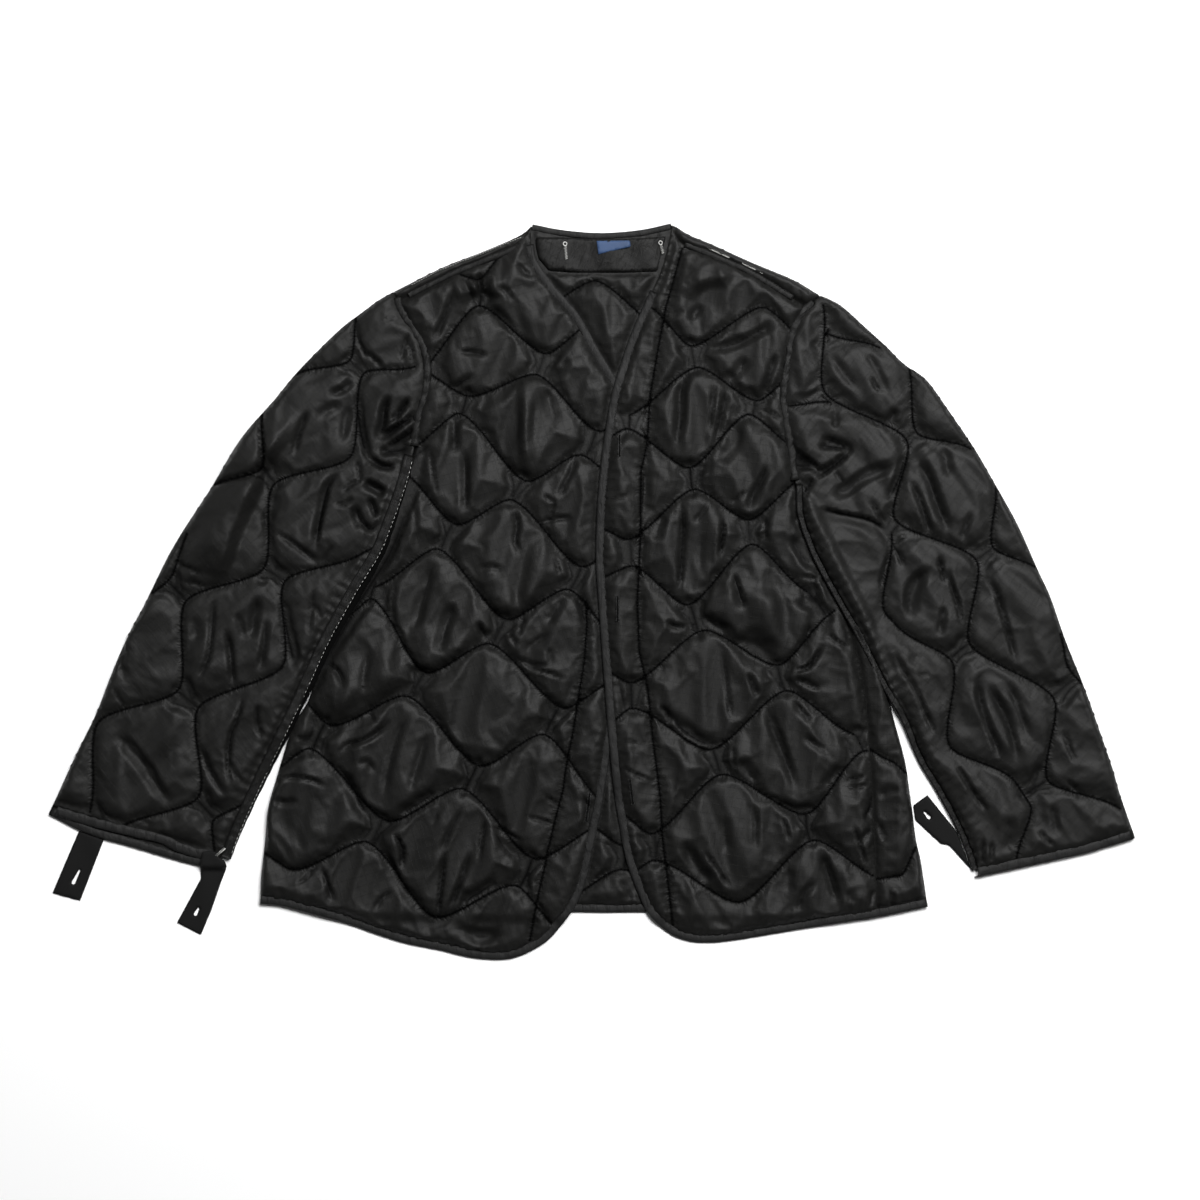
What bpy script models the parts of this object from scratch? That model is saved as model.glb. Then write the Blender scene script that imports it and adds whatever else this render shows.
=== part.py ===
"""Quilted button-in liner of a field jacket, laid flat with its front up.

Frame: +X to the wearer's left, +Y to the neck, +Z up; the floor is Z = 0.
Every table below is in millimetres; the meshes are made in metres.
Two cloths lie on each other: the back on the floor, the fronts on the back, and each
sleeve is one flattened tube.  Rows of wavy quilting hold the padding down.
"""
import math

import bmesh
import bpy
import numpy as np
from mathutils import Vector
from mathutils.geometry import delaunay_2d_cdt

MM = 0.001

# Cloth, in millimetres
GAP = 0.3                  # between any two pieces
UNDER_CLOTH = 3.0          # back panel, and the lower wall of a sleeve
TOP_CLOTH = 1.7            # front cloth where it is stitched down
SLEEVE_LOWER = 2.7         # lower wall of a sleeve
SLEEVE_UPPER = 3.3         # underside of its upper wall
BODY_TOP = UNDER_CLOTH + GAP + TOP_CLOTH
PUFF = 8.5                 # how far a quilted cell stands up at its middle
PUFF_REACH = 32.0          # distance from the stitching at which it does
EDGE_PUFF_REACH = 16.0     # the same beside an edge
FLAT_EDGE = 7.4            # unpadded border of every panel
BESIDE = 1.0               # a cloth starts to come down this far beside what it lies on
RAMP = 12.0                # and reaches the next thing below over this length
BEND = 0.12                # largest error of a straight run between two stations
SLACK = 0.8                # the flat borders are kept this much wider than their lines
SHORTEST = 1.5             # no station is added to a shorter run

# Trim
BINDING_WIDTH = 8.5
NECK_BINDING_WIDTH = 6.2
BINDING_FOLD = 2.0         # the part of a binding beyond the cloth that it wraps
BINDING_RISE = 2.9
PRESSED = 3.5              # a padded cloth is pressed flat this far beside what lies on it
EDGE_BAND = 9.0            # thin border of the back under its bindings
STEP_LINES = (0.4, 1.6)    # foot and head of the step where the back turns to the front
ARMHOLE_BAND = 5.0         # half width of the seam over an armhole
SHOULDER_BAND = 4.0
BAND_RISE = 1.9
RIGHT_SEAM_WIDTH = 11.0    # underarm seam allowances
LEFT_SEAM_WIDTH = 7.0
SEAM_RISE = 4.6
SLIT_MARGIN = 4.0          # solid edge of a flattened sleeve

# Spacing of the faceted cloth
CELL_GRID = 33.0
ROW_STEP = 26.0
CLEAR_OF_ROW = 11.0

# Outlines: x, y
RIGHT_SHOULDER = ((-62, 386), (-74, 375), (-110, 359), (-158, 340), (-208, 315))
LEFT_SHOULDER = ((83, 387), (102, 375), (126, 365), (168, 346), (211, 328), (240, 311))
BACK_NECK = ((-62, 386), (-30, 380), (9, 377), (50, 380), (83, 387))
BACK_HEM = ((-348, -328), (-200, -334), (-20, -337), (50, -337), (200, -335), (353, -331))
RIGHT_ARMHOLE = ((-208, 315), (-198, 291), (-186, 274), (-176, 253), (-173, 230), (-176, 205),
                 (-183, 180), (-187, 146))
LEFT_ARMHOLE = ((240, 311), (221, 292), (211, 269), (205, 240), (201, 205), (203, 187),
                (208, 155), (214, 112))
RIGHT_SIDE = ((-187, 146), (-211, 100), (-233, 50), (-256, 0), (-275, -45), (-288, -85),
              (-298, -115), (-311, -136), (-319, -156), (-331, -196), (-340, -228),
              (-343, -262), (-347, -299), (-348, -328))
LEFT_SIDE = ((214, 112), (240, 60), (262, 15), (284, -30), (300, -75), (311, -110), (318, -136),
             (329, -177), (334, -209), (338, -238), (341, -262), (346, -284), (353, -331))
LEFT_SIDE_SEAM = ((214, 112), (232, 60), (252, 10), (270, -40), (282, -80), (289, -130),
                  (294, -200), (297, -270), (300, -342))
RIGHT_FRONT_SHOULDER = ((-62, 386), (-73, 371), (-106, 350), (-145, 334))
RIGHT_SHOULDER_END = 304   # height at which it meets the armhole
LEFT_FRONT_SHOULDER = ((83, 387), (94, 366), (126, 353), (168, 334))
LEFT_SHOULDER_END = 298
RIGHT_EDGE = ((-62, 386), (-61, 365), (-57, 347), (-39, 321), (-14, 292), (8, 253), (24, 227),
              (38, 201), (46, 159), (49, 96), (44, 12), (36, -72), (23, -145), (14, -206),
              (9, -235), (3, -261), (-4, -296), (-12, -320), (-22, -338), (-44, -365),
              (-62, -377), (-78, -384), (-96, -387), (-126, -385), (-160, -377), (-195, -370),
              (-230, -359), (-264, -347), (-300, -337), (-327, -330), (-348, -328))
LEFT_EDGE = ((83, 387), (73, 344), (59, 311), (43, 275), (31, 241), (21, 207), (13, 161),
             (9, 128), (6, 93), (4.5, 58), (4.5, 24), (7, -11), (12, -81), (17, -145),
             (23, -208), (29, -246), (36, -282), (49, -318), (59, -338), (73, -353), (88, -363),
             (105, -368), (121, -369), (147, -367), (214, -356), (267, -347), (300, -342))
LEFT_HEM_END = (353, -331)
RIGHT_SHOULDER_SEAM = ((-75, 362), (-106, 350), (-145, 334), (-192, 311))
LEFT_SHOULDER_SEAM = ((98, 365), (126, 353), (168, 334), (211, 308))
RIGHT_SLEEVE_FOLD = ((-208, 315), (-224, 306), (-243, 292), (-266, 274), (-308, 232),
                     (-332, 203), (-368, 160), (-400, 108), (-428, 66), (-447, 33), (-470, -14),
                     (-486, -44), (-501, -78), (-521, -129), (-542, -172), (-565, -222),
                     (-571, -234))
RIGHT_CUFF = ((-571, -234), (-540, -250), (-513, -260), (-487, -267), (-440, -281),
              (-411, -288), (-392, -284))
RIGHT_CUFF_LIP = ((-580, -220), (-565, -225), (-527, -237), (-480, -253), (-433, -268),
                  (-400, -278), (-380, -282))
RIGHT_UNDERARM = ((-187, 146), (-194, 120), (-202, 97), (-221, 49), (-235, 25), (-250, 2),
                  (-280, -50), (-308, -108), (-327, -146), (-355, -200), (-378, -249),
                  (-392, -284))
LEFT_SLEEVE_FOLD = ((240, 311), (252, 306), (265, 298), (287, 278), (309, 258), (328, 239),
                    (351, 223), (373, 193), (401, 152), (422, 116), (447, 71), (469, 22),
                    (482, -6), (498, -52), (518, -102), (545, -179), (555, -213), (571, -259))
LEFT_CUFF = ((571, -259), (541, -268), (517, -275), (485, -282), (449, -290), (402, -300))
LEFT_UNDERARM = ((214, 112), (216, 78), (230, 39), (247, 6), (278, -49), (308, -107),
                 (324, -134), (342, -177), (361, -209), (385, -254), (402, -300))
NECK_FACING = ((-59, 372), (-59, 364), (-56, 350), (-45, 337), (-20, 335.5), (20, 335),
               (69, 336.5), (71, 347), (78, 373), (50, 371), (9, 370), (-30, 372))

# Quilting rows: the turning points of each wave, x, y.  A row runs along its own heading.
BODY_RIGHT_HEADING = (1.0, -0.28)
BODY_LEFT_HEADING = (1.0, 0.16)
SLEEVE_RIGHT_HEADING = (-0.61, -0.79)
SLEEVE_LEFT_HEADING = (0.58, -0.81)
RIGHT_FRONT_ROWS = (
    ((-88, 362), (-119, 326), (-170, 345)),
    ((-185, 225), (-119, 303), (-49, 248), (10, 290)),
    ((-190, 240), (-130, 204), (-57, 229), (6, 167), (60, 190)),
    ((-190, 150), (-138, 189), (-69, 114), (-11, 145), (50, 95)),
    ((-200, 128), (-142, 69), (-83, 98), (-11, 24), (45, 60)),
    ((-227, 5), (-161, 47), (-90, -31), (-24, 4), (35, -60)),
    ((-262, -30), (-230, -6), (-175, -87), (-106, -53), (-30, -124), (30, -90)),
    ((-320, -95), (-274, -142), (-193, -108), (-118, -185), (-49, -148), (15, -225)),
    ((-345, -195), (-295, -163), (-214, -243), (-135, -205), (-60, -283), (20, -240)),
    ((-360, -265), (-313, -293), (-235, -261), (-165, -344), (-80, -307), (-30, -360)),
)
LEFT_FRONT_ROWS = (
    ((60, 300), (105, 256), (179, 300), (230, 260)),
    ((40, 185), (110, 237), (174, 199), (215, 230)),
    ((0, 150), (37, 172), (103, 128), (164, 188), (215, 150)),
    ((0, 70), (40, 54), (107, 109), (166, 74), (222, 120)),
    ((0, 10), (43, 28), (101, -16), (168, 52), (226, 0)),
    ((0, -75), (43, -97), (117, -39), (196, -79), (255, -20)),
    ((5, -150), (43, -121), (125, -168), (204, -102), (275, -150)),
    ((20, -225), (64, -256), (136, -190), (225, -236), (286, -165), (345, -200)),
    ((35, -300), (66, -281), (156, -328), (232, -259), (308, -304), (360, -265)),
)
BACK_ROWS = (
    ((-50, 300), (4, 328), (75, 275)),
    ((-10, -240), (34, -268), (70, -250)),
    ((-30, -325), (30, -291), (90, -310)),
)
RIGHT_SLEEVE_ROWS = (
    ((-245, 300), (-253, 242), (-312, 228), (-345, 190), (-345, 128), (-405, 108)),
    ((-425, 60), (-442, 14), (-480, -16)),
    ((-186, 236), (-241, 222), (-252, 140), (-336, 113), (-343, 23), (-428, -9), (-432, -104),
     (-520, -136), (-527, -232)),
    ((-190, 60), (-240, 40), (-324, 12), (-323, -80), (-415, -121), (-411, -217), (-500, -250)),
    ((-330, -190), (-365, -222), (-398, -240), (-396, -290)),
)
LEFT_SLEEVE_ROWS = (
    ((243, 300), (243, 208), (333, 160), (316, 75), (406, 34), (395, -56), (487, -111),
     (477, -199), (555, -228)),
    ((332, 240), (340, 166), (398, 150)),
    ((424, 116), (420, 46), (472, 22)),
    ((492, -45), (500, -80), (528, -112)),
    ((240, 120), (235, 60)),
    ((315, 60), (306, -20), (324, -40), (380, -73), (374, -163), (442, -196), (462, -226),
     (446, -282)),
    ((330, -120), (368, -178), (402, -195), (420, -290)),
)

# Largest folds: x0, y0, x1, y1, half width, rise (a trough is below zero)
RIGHT_SLEEVE_FOLDS = (
    (-306, 187, -352, 92, 9, 5.0),
    (-352, 92, -395, 12, 9, 4.0),
    (-284, 120, -290, 55, 8, 3.5),
    (-328, -10, -318, -75, 10, -3.0),
)
LEFT_SLEEVE_FOLDS = (
    (334, 140, 358, 60, 8, 3.0),
    (345, 20, 335, -30, 10, -3.0),
    (420, -95, 440, -165, 9, 3.0),
)
RIGHT_FRONT_FOLDS = (
    (-70, 205, -67, 125, 8, -2.5),
    (-143, 190, -135, 90, 8, -2.5),
    (-196, 30, -187, -60, 9, 3.0),
    (-258, -25, -250, -90, 9, 3.0),
    (-110, -65, -120, -160, 8, 3.0),
    (-176, -120, -185, -210, 9, 2.5),
)
LEFT_FRONT_FOLDS = (
    (93, 215, 92, 140, 8, -2.5),
    (96, 90, 92, 0, 8, -2.5),
    (155, 0, 165, -60, 12, -3.0),
    (196, -110, 212, -210, 9, 3.0),
    (132, -60, 140, -140, 8, 3.0),
)

# Buttonholes: x, y of the upper end, x, y of the lower end
LEFT_BUTTONHOLES = ((29, 164, 29, 141), (27, -5, 27, -31), (40, -197, 43, -223))
RIGHT_BUTTONHOLES = ((-2, -212, -6, -241),)
BUTTONHOLE_HALF = 1.1

# Cuff tabs: outline, then the two ends of the slit
TAB_FRONT = (((-539, -251.5), (-513, -260.7), (-538, -325), (-567, -317)), (-538, -292),
             (-546, -308))
TAB_BACK = (((-411, -289), (-392, -285), (-383, -286), (-400, -335), (-411, -361), (-436, -348),
             (-409, -299)), (-413, -331), (-418, -342))
TAB_LEFT = (((353, -214), (384.1, -252.6), (399.2, -292.6), (376, -267), (367, -265), (340, -240),
             (338, -225)), (349, -231), (356, -239))
TAB_THICK = 1.3
SLIT_HALF = 2.4

LABEL = ((5, 368), (40, 368.5), (41, 362), (7, 354))
LABEL_THICK = 0.5
FACING_THICK = 1.2

COLOURS = {                # r, g, b, roughness
    "quilted_cloth": (0.022, 0.022, 0.021, 0.42),
    "binding_tape": (0.034, 0.034, 0.034, 0.62),
    "tab_tape": (0.006, 0.006, 0.006, 0.85),
    "label": (0.026, 0.055, 0.14, 0.6),
}


# ---------------------------------------------------------------- curves and distances
def curve_point(p, t):
    """Point of a Catmull-Rom span from p[1] to p[2]."""
    a = 2 * p[1]
    b = p[2] - p[0]
    c = 2 * p[0] - 5 * p[1] + 4 * p[2] - p[3]
    d = -p[0] + 3 * p[1] - 3 * p[2] + p[3]
    return 0.5 * (a + b * t + c * t * t + d * t ** 3)


def smooth(points, tolerance=0.5, longest=46.0):
    """Stations of a smooth curve through the points, no closer than its bends need."""
    knots = [np.array(p, float) for p in points]
    knots = [2 * knots[0] - knots[1]] + knots + [2 * knots[-1] - knots[-2]]
    line = [knots[1]]

    def add(span, start, end, first, last):
        middle = curve_point(span, (start + end) / 2)
        bend = np.linalg.norm(middle - (first + last) / 2)
        if bend > tolerance or np.linalg.norm(last - first) > longest:
            add(span, start, (start + end) / 2, first, middle)
            add(span, (start + end) / 2, end, middle, last)
        else:
            line.append(last)

    for i in range(len(knots) - 3):
        span = knots[i:i + 4]
        add(span, 0.0, 1.0, span[1], span[2])
    return np.array(line)


def wave(turns, heading, step):
    """A quilting row: smooth half waves between its turning points."""
    along = np.array(heading) / np.linalg.norm(heading)
    across = np.array((-along[1], along[0]))
    line = []
    for first, last in zip(turns[:-1], turns[1:]):
        reach = np.array(last, float) - np.array(first, float)
        pieces = max(3, round(np.linalg.norm(reach) / step))
        for k in range(pieces):
            t = k / pieces
            ease = (1 - math.cos(math.pi * t)) / 2
            line.append(np.array(first) + along * (reach @ along) * t
                        + across * (reach @ across) * ease)
    line.append(np.array(turns[-1], float))
    return np.array(line)


def beside(line, distance):
    """The line moved sideways, to its left for a positive distance."""
    line = np.asarray(line, float)
    runs = np.diff(line, axis=0)
    runs /= np.linalg.norm(runs, axis=1)[:, None]
    before = np.vstack((runs[:1], runs))
    after = np.vstack((runs, runs[-1:]))
    mean = before + after
    mean /= np.linalg.norm(mean, axis=1)[:, None]
    stretch = 1 / np.clip((mean * after).sum(axis=1), 0.6, 1.0)
    side = np.stack((-mean[:, 1], mean[:, 0]), axis=1)
    return line + side * (distance * stretch)[:, None]


def grown(polygon, distance):
    """A closed anticlockwise outline, moved outwards."""
    ring = np.vstack((polygon[-1:], polygon, polygon[:1]))
    return beside(ring, -distance)[1:-1]


def ring_at(polygon, distance):
    """A closed line that far outside an outline, without loops at its corners."""
    ring = grown(polygon, distance)
    true = signed(ring, polygon) * np.sign(distance) > abs(distance) - 0.15
    return closed(ring[true])


def closed(ring):
    return np.vstack((ring, ring[:1]))


def nearest(points, line):
    """Distance from each point to a line."""
    points = np.atleast_2d(np.asarray(points, float))
    best = np.full(len(points), 1e9)
    for a, b in zip(line[:-1], line[1:]):
        run = b - a
        t = np.clip((points - a) @ run / max(run @ run, 1e-9), 0, 1)
        best = np.minimum(best, np.linalg.norm(points - a - t[:, None] * run, axis=1))
    return best


def signed(points, polygon):
    """Distance outside a closed outline, below zero inside it."""
    points = np.atleast_2d(np.asarray(points, float))
    ring = np.vstack((polygon, polygon[:1]))
    inside = np.zeros(len(points), bool)
    for a, b in zip(ring[:-1], ring[1:]):
        spans = (a[1] > points[:, 1]) != (b[1] > points[:, 1])
        if spans.any():
            cross = a[0] + (points[:, 1] - a[1]) * (b[0] - a[0]) / (b[1] - a[1] + 1e-12)
            inside ^= spans & (points[:, 0] < cross)
    return nearest(points, ring) * np.where(inside, -1, 1)


def outline(*sides):
    """Joins sides end to end into one closed anticlockwise outline."""
    ring = np.vstack(sides)
    ring = ring[np.linalg.norm(ring - np.roll(ring, 1, axis=0), axis=1) > 0.05]
    area = np.sum(ring[:, 0] * np.roll(ring[:, 1], -1) - ring[:, 1] * np.roll(ring[:, 0], -1))
    return ring if area > 0 else ring[::-1]


def lifted(points, supports):
    """Height at which a cloth lies on the pieces under it, coming down beside each."""
    height = np.zeros(len(points))
    for polygon, top, floor in supports:
        ease = 1 - np.clip((signed(points, polygon) - BESIDE) / RAMP, 0, 1)
        height = np.maximum(height, np.where(ease > 0, floor + (top - floor) * ease, 0))
    return height


def refined(line, supports, offsets=(0.0,)):
    """Adds stations where the height under a band along the line bends between two."""
    line = list(np.asarray(line, float))
    shares = np.linspace(0, 1, 5)
    i = 0
    while i < len(line) - 1 and supports:
        a, b = line[i], line[i + 1]
        run = b - a
        length = np.linalg.norm(run)
        side = np.array((-run[1], run[0])) / max(length, 1e-9)
        z = np.max([lifted([a + run * t + side * o for t in shares], supports)
                    for o in offsets], axis=0)
        if np.abs(z - z[0] - (z[4] - z[0]) * shares).max() > BEND and length > SHORTEST:
            line.insert(i + 1, a + run / 2)
        else:
            i += 1
    return np.array(line)


# ---------------------------------------------------------------- solids
def material(name):
    found = bpy.data.materials.get(name)
    if found:
        return found
    made = bpy.data.materials.new(name)
    made.use_nodes = True
    shader = made.node_tree.nodes["Principled BSDF"]
    red, green, blue, rough = COLOURS[name.split(".")[0]]
    shader.inputs["Base Color"].default_value = (red, green, blue, 1)
    shader.inputs["Roughness"].default_value = rough
    made.diffuse_color = (red, green, blue, 1)
    return made


def add_object(name, points, faces, finish):
    """A closed mesh in metres, its flat regions joined into few triangles."""
    mesh = bpy.data.meshes.new(name)
    mesh.from_pydata([Vector(p) * MM for p in points], [], faces)
    shape = bmesh.new()
    shape.from_mesh(mesh)
    bmesh.ops.recalc_face_normals(shape, faces=shape.faces)
    bmesh.ops.dissolve_limit(shape, angle_limit=math.radians(0.05), verts=shape.verts,
                             edges=shape.edges, use_dissolve_boundaries=False)
    bmesh.ops.triangulate(shape, faces=shape.faces, quad_method="BEAUTY", ngon_method="BEAUTY")
    shape.to_mesh(mesh)
    shape.free()
    mesh.materials.append(material(f"{finish}.{name}"))
    placed = bpy.data.objects.new(name, mesh)
    bpy.context.collection.objects.link(placed)
    return placed


def triangulated(polygon, lines=(), points=()):
    """Triangles inside a closed outline, with every line kept as edges."""
    verts = [tuple(p) for p in polygon]
    edges = [(i, (i + 1) % len(verts)) for i in range(len(verts))]
    for line in lines:
        start = len(verts)
        verts += [tuple(p) for p in line]
        edges += [(k, k + 1) for k in range(start, len(verts) - 1)]
    verts += [tuple(p) for p in points]
    flat = [Vector(p) for p in verts]
    found, _, faces, _, _, _ = delaunay_2d_cdt(flat, edges, [], 1, 0.02)
    found = np.array([tuple(p) for p in found])
    kept = []
    for face in faces:
        a, b, c = found[list(face)]
        area = (b[0] - a[0]) * (c[1] - a[1]) - (b[1] - a[1]) * (c[0] - a[0])
        if abs(area) > 1e-4:
            kept.append(tuple(face) if area > 0 else tuple(reversed(face)))
    centres = np.array([found[list(face)].mean(axis=0) for face in kept])
    within = signed(centres, polygon) < 0
    return found, [face for face, keep in zip(kept, within) if keep]


def stacked(name, flat, faces, levels, filled, finish):
    """A solid of slabs over flat triangles.

    levels[k] holds the height of every point at level k; filled[f][k] says whether the slab
    from level k to k + 1 is solid over face f.
    """
    ids = {}
    points = []
    solid_faces = []

    def corner(i, k):
        if (i, k) not in ids:
            ids[i, k] = len(points)
            points.append((flat[i][0], flat[i][1], levels[k][i]))
        return ids[i, k]

    slabs = len(levels) - 1
    beyond = {}
    for f, face in enumerate(faces):
        for k in range(slabs + 1):
            above = k < slabs and filled[f][k]
            below = k > 0 and filled[f][k - 1]
            if above != below:
                ring = [corner(i, k) for i in face]
                solid_faces.append(ring[::-1] if above else ring)
        for a, b in zip(face, face[1:] + face[:1]):
            beyond[a, b] = f
    for (a, b), f in beyond.items():
        other = beyond.get((b, a))
        for k in range(slabs):
            if filled[f][k] and (other is None or not filled[other][k]):
                solid_faces.append((corner(a, k), corner(b, k), corner(b, k + 1), corner(a, k + 1)))
    return add_object(name, points, solid_faces, finish)


def crossing(first, last, polygon, margin):
    """The point between two others at which a line comes within a margin of the outline."""
    if signed(first, polygon)[0] < -margin:
        first, last = last, first
    for _ in range(18):
        middle = (first + last) / 2
        if signed(middle, polygon)[0] < -margin:
            last = middle
        else:
            first = middle
    return last


def runs_inside(line, polygon, margin):
    """The stretches of a line that lie well inside an outline."""
    line = np.asarray(line, float)
    keep = signed(line, polygon) < -margin
    stretch = [line[0]] if keep[0] else []
    found = []
    for k in range(1, len(line)):
        if keep[k] != keep[k - 1]:
            stretch.append(crossing(line[k - 1], line[k], polygon, margin))
        if keep[k]:
            stretch.append(line[k])
        elif stretch:
            found.append(np.array(stretch))
            stretch = []
    if stretch:
        found.append(np.array(stretch))
    return [run for run in found if np.linalg.norm(run[-1] - run[0]) > 1.0 or len(run) > 3]


def crown_points(polygon, lines):
    """A staggered grid inside an outline, clear of every line."""
    low, high = polygon.min(axis=0), polygon.max(axis=0)
    grid = []
    for row, y in enumerate(np.arange(low[1], high[1], CELL_GRID * 0.87)):
        for x in np.arange(low[0] + (row % 2) * CELL_GRID / 2, high[0], CELL_GRID):
            grid.append((x, y))
    grid = np.array(grid)
    clear = signed(grid, polygon) < -CLEAR_OF_ROW
    for line in lines:
        clear &= nearest(grid, np.asarray(line)) > CLEAR_OF_ROW
    return grid[clear]


def puffed(points, rows, polygon, pressed):
    """How far the padding stands up: nothing at stitching and edges, full between rows."""
    points = np.asarray(points, float)
    depth = np.full(len(points), 1e9)
    for row in rows:
        depth = np.minimum(depth, nearest(points, row))
    edge = -signed(points, polygon) - FLAT_EDGE - SLACK
    for cover in pressed:
        edge = np.minimum(edge, signed(points, cover) - PRESSED - 2 * SLACK)
    share = 1 - np.clip(depth / PUFF_REACH, 0, 1)
    edge = 1 - np.clip(edge / EDGE_PUFF_REACH, 0, 1)
    return PUFF * np.sqrt(1 - share ** 2) * np.sqrt(1 - edge ** 2)


def folded(points, folds):
    """Rise and fall of the named folds."""
    rise = np.zeros(len(points))
    for x0, y0, x1, y1, half, height in folds:
        middle = np.array(((x0, y0), (x1, y1)), float)
        rise += height * np.exp(-(nearest(points, middle) / half) ** 2)
    return rise


def fold_lines(folds, polygon, step=20.0):
    lines = []
    for x0, y0, x1, y1, _, _ in folds:
        count = max(2, round(math.hypot(x1 - x0, y1 - y0) / step))
        line = np.linspace((x0, y0), (x1, y1), count + 1)
        lines += runs_inside(line, polygon, 6.0)
    return lines


def slot(x0, y0, x1, y1, half):
    """A narrow closed slot with pointed ends."""
    start, end = np.array((x0, y0), float), np.array((x1, y1), float)
    run = (end - start) / np.linalg.norm(end - start)
    side = np.array((-run[1], run[0])) * half
    inset = run * min(half * 2, np.linalg.norm(end - start) * 0.35)
    return np.array((start, start + inset + side, end - inset + side, end,
                     end - inset - side, start + inset - side))


def support_lines(supports, polygon):
    """Where a cloth starts and ends its way down beside each support."""
    lines = []
    for support, _, _ in supports:
        for distance in (BESIDE, BESIDE + RAMP):
            lines += runs_inside(ring_at(support, distance), grown(polygon, 3.0), 0.0)
    return lines


def pattern_lines(polygon, rows, folds, pressed):
    """Every line of a panel at which its top bends."""
    lines = [ring_at(polygon, -FLAT_EDGE)]
    for row in rows:
        lines += runs_inside(row, polygon, FLAT_EDGE + 2.0)
    for cover in pressed:
        lines += runs_inside(ring_at(cover, PRESSED), polygon, 1.0)
    return lines + fold_lines(folds, polygon)


def padding(points, polygon, rows, folds, pressed):
    """Height of the padding over the flat cloth."""
    rise = puffed(points, rows, polygon, pressed)
    rise += folded(points, folds) * np.clip(rise / PUFF, 0, 1)
    return np.maximum(rise, 0)


def open_faces(flat, faces, hole):
    """Drops the triangles inside a hole."""
    centres = np.array([flat[list(face)].mean(axis=0) for face in faces])
    gone = signed(centres, hole) < 0
    return [face for face, drop in zip(faces, gone) if not drop]


def quilted(name, polygon, rows, folds, supports, pressed=(), holes=()):
    """A front: flat cloth at its stitching, padded cells between."""
    cuts = [slot(*hole, BUTTONHOLE_HALF) for hole in holes]
    lines = pattern_lines(polygon, rows, folds, pressed) + support_lines(supports, polygon)
    lines += [closed(cut) for cut in cuts]
    lines += [closed(grown(cut, 2.0)) for cut in cuts]
    flat, faces = triangulated(polygon, lines, crown_points(polygon, lines))
    rise = padding(flat, polygon, rows, folds, pressed)
    for cut in cuts:
        rise[signed(flat, cut) < 2.2] = 0.0
        faces = open_faces(flat, faces, cut)
    base = lifted(flat, supports)
    return stacked(name, flat, faces, [base, base + TOP_CLOTH + rise], [(True,)] * len(faces),
                   "quilted_cloth")


def strip(name, line, section, supports, finish):
    """A band swept along a line; section lists its (sideways, height) corners in order."""
    offsets = [sideways for sideways, _ in section]
    line = refined(line, supports, offsets)
    rails = [beside(line, sideways) for sideways in offsets]
    low = np.max([lifted(rail, supports) for rail in rails], axis=0)
    points = []
    for k in range(len(line)):
        for rail, (_, height) in zip(rails, section):
            points.append((rail[k][0], rail[k][1], low[k] + height))
    count = len(section)
    faces = []
    for k in range(len(line) - 1):
        for j in range(count):
            a, b = k * count + j, k * count + (j + 1) % count
            faces.append((a, b, b + count, a + count))
    last = (len(line) - 1) * count
    faces.append(tuple(range(count)))
    faces.append(tuple(last + j for j in reversed(range(count))))
    return add_object(name, points, faces, finish)


def plate(name, polygon, low, thick, finish, hole=None):
    """A flat piece of even thickness."""
    lines = [] if hole is None else [closed(hole)]
    flat, faces = triangulated(polygon, lines)
    if hole is not None:
        faces = open_faces(flat, faces, hole)
    levels = [np.full(len(flat), low), np.full(len(flat), low + thick)]
    return stacked(name, flat, faces, levels, [(True,)] * len(faces), finish)


# ---------------------------------------------------------------- the garment
def clear_scene():
    for old in list(bpy.data.objects):
        bpy.data.objects.remove(old, do_unlink=True)


def back_outline(neck_inset=0.0, hem_inset=0.0):
    return outline(smooth(RIGHT_SHOULDER)[:0:-1], beside(smooth(BACK_NECK), -neck_inset),
                   smooth(LEFT_SHOULDER)[1:], smooth(LEFT_ARMHOLE), smooth(LEFT_SIDE)[:-1],
                   beside(smooth(BACK_HEM), hem_inset)[::-1], smooth(RIGHT_SIDE)[-2::-1],
                   smooth(RIGHT_ARMHOLE)[::-1])


def below(line, height):
    """The stretch of a falling line that lies under a height."""
    first = int(np.argmax(line[:, 1] < height))
    a, b = line[first - 1], line[first]
    start = a + (b - a) * (height - a[1]) / (b[1] - a[1])
    return np.vstack((start, line[first:]))


def front_tops():
    """Shoulder edge and armhole edge of the right front, then of the left."""
    tops = []
    for shoulder, armhole, end in (
            (RIGHT_FRONT_SHOULDER, RIGHT_ARMHOLE, RIGHT_SHOULDER_END),
            (LEFT_FRONT_SHOULDER, LEFT_ARMHOLE, LEFT_SHOULDER_END)):
        edge = below(smooth(armhole), end)
        tops += [smooth(shoulder + (tuple(edge[0]),)), edge]
    return tops


def front_outlines(inset=0.0):
    """Right and left front, up to their front edges less an inset."""
    right_shoulder, right_armhole, left_shoulder, left_armhole = front_tops()
    right = outline(right_shoulder[1:], right_armhole, smooth(RIGHT_SIDE)[:-1],
                    beside(smooth(RIGHT_EDGE), -inset)[::-1])
    left = outline(left_shoulder[1:], left_armhole, smooth(LEFT_SIDE_SEAM)[:-1],
                   beside(smooth(LEFT_EDGE), inset)[::-1])
    return right, left


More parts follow.
